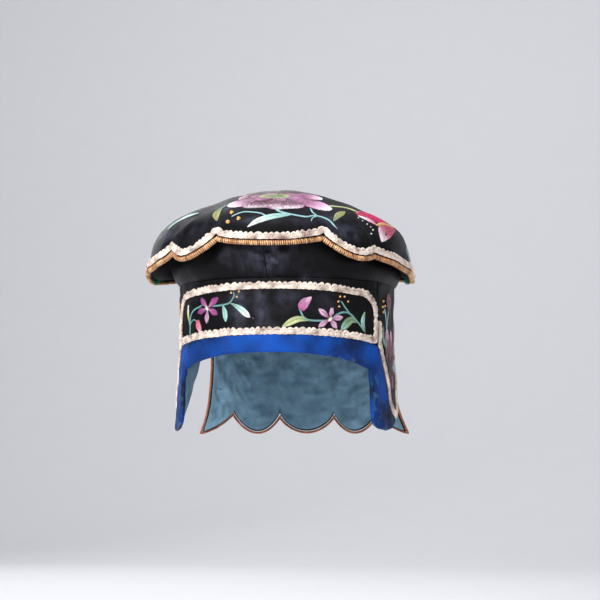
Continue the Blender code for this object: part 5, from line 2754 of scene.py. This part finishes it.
@dataclass
class Embroidery:
    """The silk flowers and sprays on the lid, the panel and the ear flaps."""

    lid: LidGround
    panel: WallGround
    flower: Pair = (4.0, -51.0)
    ear_middle: float = 107.0

    def build(self, trees: Trees) -> None:
        """Work every spray.

        Args:
            trees: The geometry trees.
        """
        hand_over(self.peony().build("lid_peony", trees))
        hand_over(self.lid_sprays().build("lid_sprays", trees))
        hand_over(self.winged().build("lid_winged_insect", trees))
        hand_over(self.right_panel_spray().build("panel_spray_right", trees, 0.42))
        hand_over(self.left_panel_spray().build("panel_spray_left", trees, 0.42))
        for side in Side:
            hand_over(self.ear(side).build(f"ear_{side.word}_spray", trees, 0.42))

    def peony(self) -> Needle:
        """The peony on top of the lid, which leans over its front.

        Returns:
            The needle with its stitches.
        """
        n = Needle(self.lid, 0.44, 101)
        c = FlossColour
        x, y = self.flower
        rim = (c.PLUM, c.MAUVE) * 5 + (c.LILAC, c.BLUSH, c.WHITE)
        side = (c.PLUM, c.MAUVE, c.LILAC, c.PLUM, c.MAUVE, c.LILAC, c.LILAC, c.BLUSH, c.WHITE)
        dusk = (c.PLUM, c.MOSS, c.PLUM, c.MOSS, c.PLUM, c.MAUVE, c.BLUSH)
        n.petal(((5, -44), (3, -30), (3, -19)), 22, dusk, widest=0.6, blunt=0.5)
        n.petal(((8, -42), (14, -26), (17, -14)), 26, dusk, widest=0.66, blunt=0.5)
        n.petal(((2, -42), (-6, -30), (-12, -20)), 25, dusk, widest=0.66, blunt=0.5)
        n.petal(((12, -46), (26, -41), (36, -40)), 19, side, widest=0.62, blunt=0.5)
        n.petal(((-4, -48), (-14, -46), (-21, -46)), 17, dusk, widest=0.62, blunt=0.5)
        n.petal(((12, -52), (29, -60), (46, -65)), 17, side, widest=0.66, blunt=0.5)
        n.petal(((-3, -54), (-13, -62), (-23.5, -69)), 18, side + (c.WHITE,), widest=0.66, blunt=0.5)
        n.petal(((3, -54), (-1, -65), (-1, -77.5)), 25, rim, widest=0.72, blunt=0.36)
        n.petal(((7, -54), (12, -66), (17, -78.5)), 26, rim, widest=0.72, blunt=0.36)
        inner = (c.MOSS, c.PLUM, c.MAUVE, c.LILAC)
        for turn in (0, 55, 110, 180, 235, 300):
            angle = math.radians(turn + 20)
            tip = (x + 17 * math.sin(angle), y - 12 * math.cos(angle))
            half_way = (x + 9 * math.sin(angle + 0.1), y - 7 * math.cos(angle + 0.1))
            n.petal(((x, y), half_way, tip), 10, inner, widest=0.66, blunt=0.5, low=0.3, arch=0.4)
        for turn in range(0, 360, 15):
            angle = math.radians(turn)
            tip = (x + 11 * math.sin(angle), y - 8 * math.cos(angle))
            n.petal(((x, y), tip), 1.9, (c.MOSS, c.SAGE, c.MOSS, c.STRAW), low=0.5, arch=0.35)
            n.knot((x + 11.6 * math.sin(angle), y - 8.6 * math.cos(angle)), 1.2, c.STRAW)
        for turn in range(10, 360, 60):
            angle = math.radians(turn)
            n.knot((x + 3.4 * math.sin(angle), y - 2.6 * math.cos(angle)), 1.6, c.OLIVE)
        return n

    def lid_sprays(self) -> Needle:
        """Stems, leaves and berries round the peony.

        Returns:
            The needle with its stitches.
        """
        n = Needle(self.lid, 0.42, 103)
        c = FlossColour
        n.stem(((-17, -87), (-12.5, -84), (-8.6, -83.2), (-0.4, -85.8), (3.8, -89.5)), 1.2, c.AQUA, 0.7)
        long_stem = (
            (7.8, -78.5), (12, -83.5), (20.5, -86), (30, -85.5), (37, -81), (46, -80.5), (53.4, -83.5),
        )
        n.stem(long_stem, 1.6, c.AQUA, 0.7)
        n.stem(((32, -72), (34, -77), (38, -81)), 1.1, c.AQUA)
        n.stem(((38, -81), (35.5, -84), (34.7, -87.5)), 1.1, c.AQUA, 0.5)
        n.leaf(((21, -86), (5, -91), (-6, -99.5)), 5.6, (c.AQUA, c.MINT, c.PALE_MINT, c.WHITE), 0.42)
        n.leaf(((-28.5, -68.5), (-30.2, -78), (-28.6, -88.5)), 5.4, (c.SAGE, c.OLIVE, c.OLIVE), 0.4, 0.75)
        n.stem(((-26, -63.5), (-28.5, -69)), 1.0, c.AQUA)
        n.leaf(((50.2, -80), (52, -70), (55.4, -58)), 4.9, (c.SAGE, c.OLIVE, c.OLIVE), 0.5, 0.75)
        n.leaf(((-74, -60), (-62.5, -57.4), (-46, -65.6)), 3.7, (c.MINT, c.PALE_MINT, c.MINT))
        n.stem(((44, -56), (53.9, -46), (63.4, -46)), 2.0, c.STRAW, 0.8)
        pale = (c.AQUA, c.PALE_MINT, c.MINT)
        n.petal(((104, -9), (113, -5), (119, 12)), 2.2, pale, Fill.ACROSS, 0.5, 0.7)
        n.stem(((-104, -44), (-108, -50)), 1.3, c.PALE_MINT, 0.5)
        n.knots_at(((-18.4, -82.3), (-12.2, -91.3), (-19.9, -92.6)), 3.4)
        self.back_spray(n)
        return n

    def back_spray(self, n: Needle) -> None:
        """A spray behind the apex, in the manner of the front ones.

        Args:
            n: The needle.
        """
        c = FlossColour
        n.stem(((-34, 30), (-18, 42), (0, 47), (20, 50), (40, 60)), 1.6, c.AQUA, 0.7)
        n.stem(((0, 47), (-6, 60), (-18, 70)), 1.2, c.AQUA, 0.7)
        n.stem(((20, 50), (26, 38), (40, 30)), 1.2, c.AQUA, 0.7)
        n.leaf(((-34, 30), (-44, 22), (-52, 10)), 7.0, (c.AQUA, c.MINT, c.PALE_MINT))
        n.leaf(((40, 60), (50, 68), (58, 80)), 7.0, (c.AQUA, c.MINT, c.PALE_MINT))
        n.leaf(((-18, 70), (-28, 78), (-34, 90)), 6.5, (c.SAGE, c.OLIVE, c.OLIVE), blunt=0.75)
        n.leaf(((8, 48), (14, 62), (12, 78)), 6.5, (c.SAGE, c.OLIVE, c.OLIVE), blunt=0.75)
        for turn in range(0, 360, 72):
            angle = math.radians(turn + 12)
            tip = (48 + 11 * math.sin(angle), 26 - 11 * math.cos(angle))
            n.petal(((48, 26), tip), 6.0, (c.VIOLET, c.MAGENTA, c.LILAC), widest=0.62, blunt=0.65)
        n.knot((48, 26), 2.6, c.STRAW)
        bud = (c.VIOLET, c.MAGENTA, c.BLUSH)
        n.petal(((-21, 24), (-24, 14), (-21, 4)), 8.0, bud, widest=0.4, blunt=0.7)
        n.stem(((-18, 42), (-21, 32), (-21, 24)), 1.2, c.AQUA)
        n.knots_at(((-46, 62), (-52, 54), (-40, 55)), 3.4)

    def winged(self) -> Needle:
        """The pink winged insect on the lid's shoulder.

        Returns:
            The needle with its stitches.
        """
        n = Needle(self.lid, 0.42, 107)
        c = FlossColour
        upper_wing = (c.HOT_PINK, c.HOT_PINK, c.HOT_PINK, c.ROSE)
        n.petal(((86, -30), (76, -36.5), (63.5, -51.5)), 15, upper_wing, widest=0.4, blunt=0.55)
        edge = (c.ROSE, c.BLUSH, c.WHITE)
        n.petal(((80.5, -46.5), (74, -50), (65, -53.5)), 4.0, edge, widest=0.5, blunt=0.7)
        low_wing = (c.HOT_PINK, c.HOT_PINK, c.ROSE, c.ROSE, c.BLUSH, c.WHITE)
        n.petal(((91, -20), (87.6, -36), (87, -46), (90, -56)), 12, low_wing, widest=0.62, blunt=0.8)
        body = ((79.5, -49.5), (82.5, -38), (89, -21))
        n.petal(body, 2.4, (c.GOLD, c.GOLD), Fill.ACROSS, 0.5, 0.4, low=0.5)
        n.knot((88.8, -45.9), 2.6, c.INK)
        n.dots(((66, -57.5), (72, -57.5), (77, -56.5)), 4, 1.0, c.WHITE)
        n.dots(((79.5, -57), (80, -62)), 2, 1.2, c.WHITE)
        return n

    def blossom(
        self,
        n: Needle,
        middle: Pair,
        petals: Sequence[tuple[Pair, float]],
        shades: Sequence[FlossColour],
    ) -> None:
        """Work an open flower, its petals narrow at the middle and broad near their tips.

        Args:
            n: The needle.
            middle: The flower's middle.
            petals: Each petal's tip and width.
            shades: The petals' colours from the middle out.
        """
        for tip, width in petals:
            n.petal((middle, tip), width, shades, widest=0.62, blunt=0.9, low=0.2)

    def right_panel_spray(self) -> Needle:
        """The spray on the panel's wearer's right half.

        Returns:
            The needle with its stitches.
        """
        n = Needle(self.panel, 0.36, 109)
        c = FlossColour
        n.stem(((-69, -102.5), (-67.6, -91), (-62.3, -85.2), (-52, -82)), 1.1, c.TEAL)
        end_leaf = ((-68.6, -95), (-71, -87.5), (-69.5, -80.5))
        n.petal(end_leaf, 3.2, (c.SAGE, c.STRAW, c.WHITE), Fill.ACROSS)
        n.stem(((-67.4, -93.6), (-62.3, -91.4), (-57.8, -92.6)), 0.9, c.TEAL, 0.7)
        n.petal(((-57.2, -91.8), (-55.6, -96), (-53, -101)), 5.0, (c.ROSE, c.ROSE, c.BLUSH), widest=0.42)
        stem = ((-40.5, -83.2), (-32.2, -82.8), (-26.9, -81.4), (-23.7, -77.6), (-23.4, -74.6))
        n.stem(stem, 1.1, c.TEAL, 0.8)
        n.leaf(((-32.2, -83), (-30.4, -88.4), (-29.8, -94.4)), 3.8, (c.AQUA, c.MINT, c.MINT))
        leaf = (c.SAGE, c.MINT, c.PALE_MINT, c.WHITE)
        n.leaf(((-26.9, -81.4), (-19.5, -85.4), (-11.8, -92)), 4.4, leaf, 0.6)
        n.knot((-9.7, -92.4), 1.1, c.MAUVE)
        n.knots_at(((-22.2, -72.6), (-19.6, -74.2), (-25.6, -74.8), (-21.2, -77.8)), 1.8)
        middle, shades = (-46.1, -84.4), (c.LILAC, c.VIOLET, c.MAGENTA, c.VIOLET)
        tips = (
            ((-53.3, -76.8), 4.4),
            ((-36.2, -77.4), 4.6),
            ((-57.2, -86.8), 4.2),
            ((-36.2, -89.0), 4.2),
        )
        self.blossom(n, middle, tips, shades)
        self.blossom(n, middle, (((-47.3, -94.8), 4.0),), (c.VIOLET, c.LILAC, c.BLUSH, c.LILAC))
        n.petal(((-47.4, -82.6), (-45.4, -86.2)), 2.2, (c.STRAW, c.WHITE), low=0.5)
        return n

    def left_panel_spray(self) -> Needle:
        """The spray on the panel's wearer's left half.

        Returns:
            The needle with its stitches.
        """
        n = Needle(self.panel, 0.36, 113)
        c = FlossColour
        bud = (c.MAGENTA, c.LILAC, c.LILAC, c.BLUSH)
        n.petal(((22.8, -87.6), (24.8, -83.0), (30.2, -78.0)), 6.6, bud, widest=0.38, blunt=0.85)
        n.stem(((22.4, -87.6), (24.8, -92), (29.1, -94), (39, -94.2)), 1.2, c.TEAL)
        n.leaf(((29.1, -94.2), (20.2, -93.4), (10, -98.6)), 4.6, (c.SAGE, c.STRAW, c.STRAW), 0.5)
        n.stem(((46.9, -90.2), (53.4, -88), (59.4, -88.8), (66.8, -94.4), (73.4, -100.4)), 1.2, c.TEAL)
        n.stem(((59.4, -88.8), (55, -84.4), (52, -80.6)), 1.1, c.TEAL, 0.8)
        n.knots_at(((50.8, -77.4), (54.4, -77.2), (49.4, -80.8), (57.4, -80.4), (50, -84.2)), 1.7)
        n.leaf(((65.6, -94.4), (59.8, -93), (51.8, -99.6)), 5.8, (c.SAGE, c.SAGE, c.MINT), 0.5, 0.7)
        n.leaf(((73.2, -100.6), (71.2, -94), (73.5, -86.4)), 3.8, (c.SAGE, c.MINT, c.SAGE), 0.42)
        tips = (
            ((34.8, -86.2), 3.8),
            ((44.8, -85.0), 3.4),
            ((53.2, -91.4), 3.6),
            ((48.2, -99.0), 3.8),
            ((34.6, -98.6), 3.6),
        )
        self.blossom(n, (43.2, -92.6), tips, (c.MAUVE, c.LILAC, c.LILAC, c.BLUSH))
        n.petal(((44.6, -91.4), (41.8, -94.6)), 2.2, (c.STRAW, c.WHITE), low=0.5)
        return n

    def ear(self, side: Side) -> Needle:
        """The spray on one ear flap: a bud, berries and a tall flower.

        Args:
            side: The wearer's side of the flap.

        Returns:
            The needle with its stitches.
        """
        n = Needle(MirroredGround(self.panel, side), 0.4, 127)
        c = FlossColour
        base = self.ear_middle
        dusk = (c.WINE, c.DUSKY, c.DUSKY, c.BLUSH)
        bud = ((base + 4.5, -84), (base + 4, -78), (base + 2, -71))
        n.petal(bud, 11.0, (c.WINE, c.DUSKY, c.MAUVE), widest=0.5)
        n.stem(((base + 4, -84), (base, -92), (base - 2, -104), (base, -118)), 1.2, c.AQUA)
        n.stem(((base - 6, -83), (base - 3, -90), (base - 1.5, -96)), 1.1, c.AQUA)
        n.knots_at(((base - 9, -77.5), (base - 10, -81.5), (base - 5.6, -80.5), (base - 8.5, -85)), 2.2)
        petals = (
            (((base + 8, -122), (base + 19, -106), (base + 29, -89)), 9.0),
            (((base + 6, -124), (base, -112), (base + 0.5, -96)), 9.0),
            (((base + 9, -124), (base + 21, -115), (base + 28, -104)), 8.0),
            (((base + 8, -124), (base + 10, -110), (base + 11, -97)), 10.0),
        )
        for spine, width in petals:
            n.petal(spine, width, dusk, widest=0.6, blunt=0.6)
        foot = (c.WINE, c.WINE, c.DUSKY)
        n.petal(((base + 8, -122), (base + 6, -130), (base + 3, -139)), 7.5, foot, Fill.ACROSS, 0.4, 0.7)
        lip = ((base + 10, -122), (base + 13, -129), (base + 11, -138))
        n.petal(lip, 5.0, (c.WINE, c.DUSKY, c.LILAC), widest=0.5)
        leaf = ((base + 14, -120), (base + 24, -124), (base + 29, -119))
        n.leaf(leaf, 5.0, (c.SAGE, c.AQUA, c.MINT), 0.55, 0.6)
        n.leaf(((base - 1, -112), (base - 7, -104), (base - 9, -95)), 4.0, (c.AQUA, c.SAGE), 0.55, 0.6)
        return n


@dataclass
class Studio:
    """A pale sweep of paper, soft lights and the camera at the photograph's view.

    Attributes:
        azimuth: The camera's turn from the front, towards +X.
        elevation: Its height as an angle, below the level here.
        distance: From the camera to the point that it looks at, in millimetres.
        target: The point that it looks at, in millimetres.
        focal: The focal length in pixels of a picture 600 wide.
        floor: The height of the floor in millimetres.
    """

    azimuth: float = 9.0
    elevation: float = -5.0
    distance: float = 1300.0
    target: Place = (8.75, 0.9, -73.03)
    focal: float = 1805.6
    picture: float = 600.0
    floor: float = -345.0

    def build(self) -> None:
        """Set the stage."""
        bpy.context.scene.view_settings.view_transform = "Standard"
        self.camera()
        self.paper()
        self.lights()

    def back(self) -> Vector:
        """The direction from the target to the camera."""
        a, e = math.radians(self.azimuth), math.radians(self.elevation)
        return Vector((math.sin(a) * math.cos(e), -math.cos(a) * math.cos(e), math.sin(e)))

    def camera(self) -> None:
        """Place the camera."""
        lens = bpy.data.cameras.new("camera")
        lens.sensor_fit = "HORIZONTAL"
        lens.angle = 2 * math.atan(self.picture / 2 / self.focal)
        lens.clip_start, lens.clip_end = 0.05, 30.0
        camera = bpy.data.objects.new("camera", lens)
        camera.location = (Vector(self.target) + self.back() * self.distance) * MM
        camera.rotation_euler = (-self.back()).to_track_quat("-Z", "Y").to_euler()
        bpy.context.scene.collection.objects.link(camera)
        bpy.context.scene.camera = camera

    def paper(self) -> None:
        """A floor that sweeps up behind the hat."""
        profile = [(-3000.0, 0.0), (1400.0, 0.0)]
        for angle in np.radians(np.arange(10, 91, 10)):
            profile.append((1400.0 + 900 * math.sin(angle), 900 * (1 - math.cos(angle))))
        profile.append((2300.0, 3600.0))
        wide = 4000.0
        points = [(side * wide, y, self.floor + z) for y, z in profile for side in (-1, 1)]
        faces = [(2 * i, 2 * i + 1, 2 * i + 3, 2 * i + 2) for i in range(len(profile) - 1)]
        paper = new_piece("studio_paper", np.array(points), faces=faces)
        paper.data.shade_smooth()
        paper.data.materials.append(StudioPaper("studio_paper").material())
        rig.stage(paper)

    def lights(self) -> None:
        """A broad key from the camera's side, a fill, and a rim from behind."""
        hat = self.target
        self.area("key", (-620.0, -1250.0, 420.0), hat, 480.0, 22.0)
        self.area("fill", (1000.0, -900.0, 150.0), hat, 900.0, 6.0)
        self.area("top", (0.0, -250.0, 1100.0), hat, 900.0, 7.0)
        self.area("rim", (-700.0, 1100.0, 500.0), hat, 800.0, 4.0)
        self.area("sweep", (0.0, 500.0, 900.0), (0.0, 2300.0, -100.0), 1200.0, 6.0)
        world = bpy.data.worlds.new("studio")
        bpy.context.scene.world = world
        world.use_nodes = True
        world.node_tree.nodes["Background"].inputs[0].default_value = (0.85, 0.88, 0.95, 1.0)
        world.node_tree.nodes["Background"].inputs[1].default_value = 0.4

    def area(self, name: str, place: Place, aim_at: Place, size: float, power: float) -> None:
        """Hang one soft light.

        Args:
            name: The light's name.
            place: Where it hangs, in millimetres.
            aim_at: What it is aimed at.
            size: The width of its square, in millimetres.
            power: Its power in watts.
        """
        light = bpy.data.lights.new(name, "AREA")
        light.size = size * MM
        light.energy = power
        lamp = bpy.data.objects.new(name, light)
        lamp.location = Vector(place) * MM
        aim = Vector(aim_at) - Vector(place)
        lamp.rotation_euler = aim.to_track_quat("-Z", "Y").to_euler()
        bpy.context.scene.collection.objects.link(lamp)


def main() -> None:
    """Dress the hat, piece by piece."""
    logging.basicConfig(level=logging.INFO, format="%(name)s: %(message)s")
    cad_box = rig.bounds()
    trees = Trees()
    lid, front = Lid(), Front()
    Studio().build()
    Crown().build()
    lid.build(trees)
    front.build(trees)
    for side in Side:
        EarFlap(side, front).build(trees)
    NeckFlap().build(trees)
    Embroidery(lid.ground, front.ground).build(trees)
    for cut in cuts():
        cut.declare()
    boxes = {"cad": cad_box, "visual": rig.bounds()}
    sizes = {name: [list(corner) for corner in box] for name, box in boxes.items()}
    with open("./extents.json", "w") as out:
        json.dump(sizes, out)


if __name__ == "__main__":
    main()
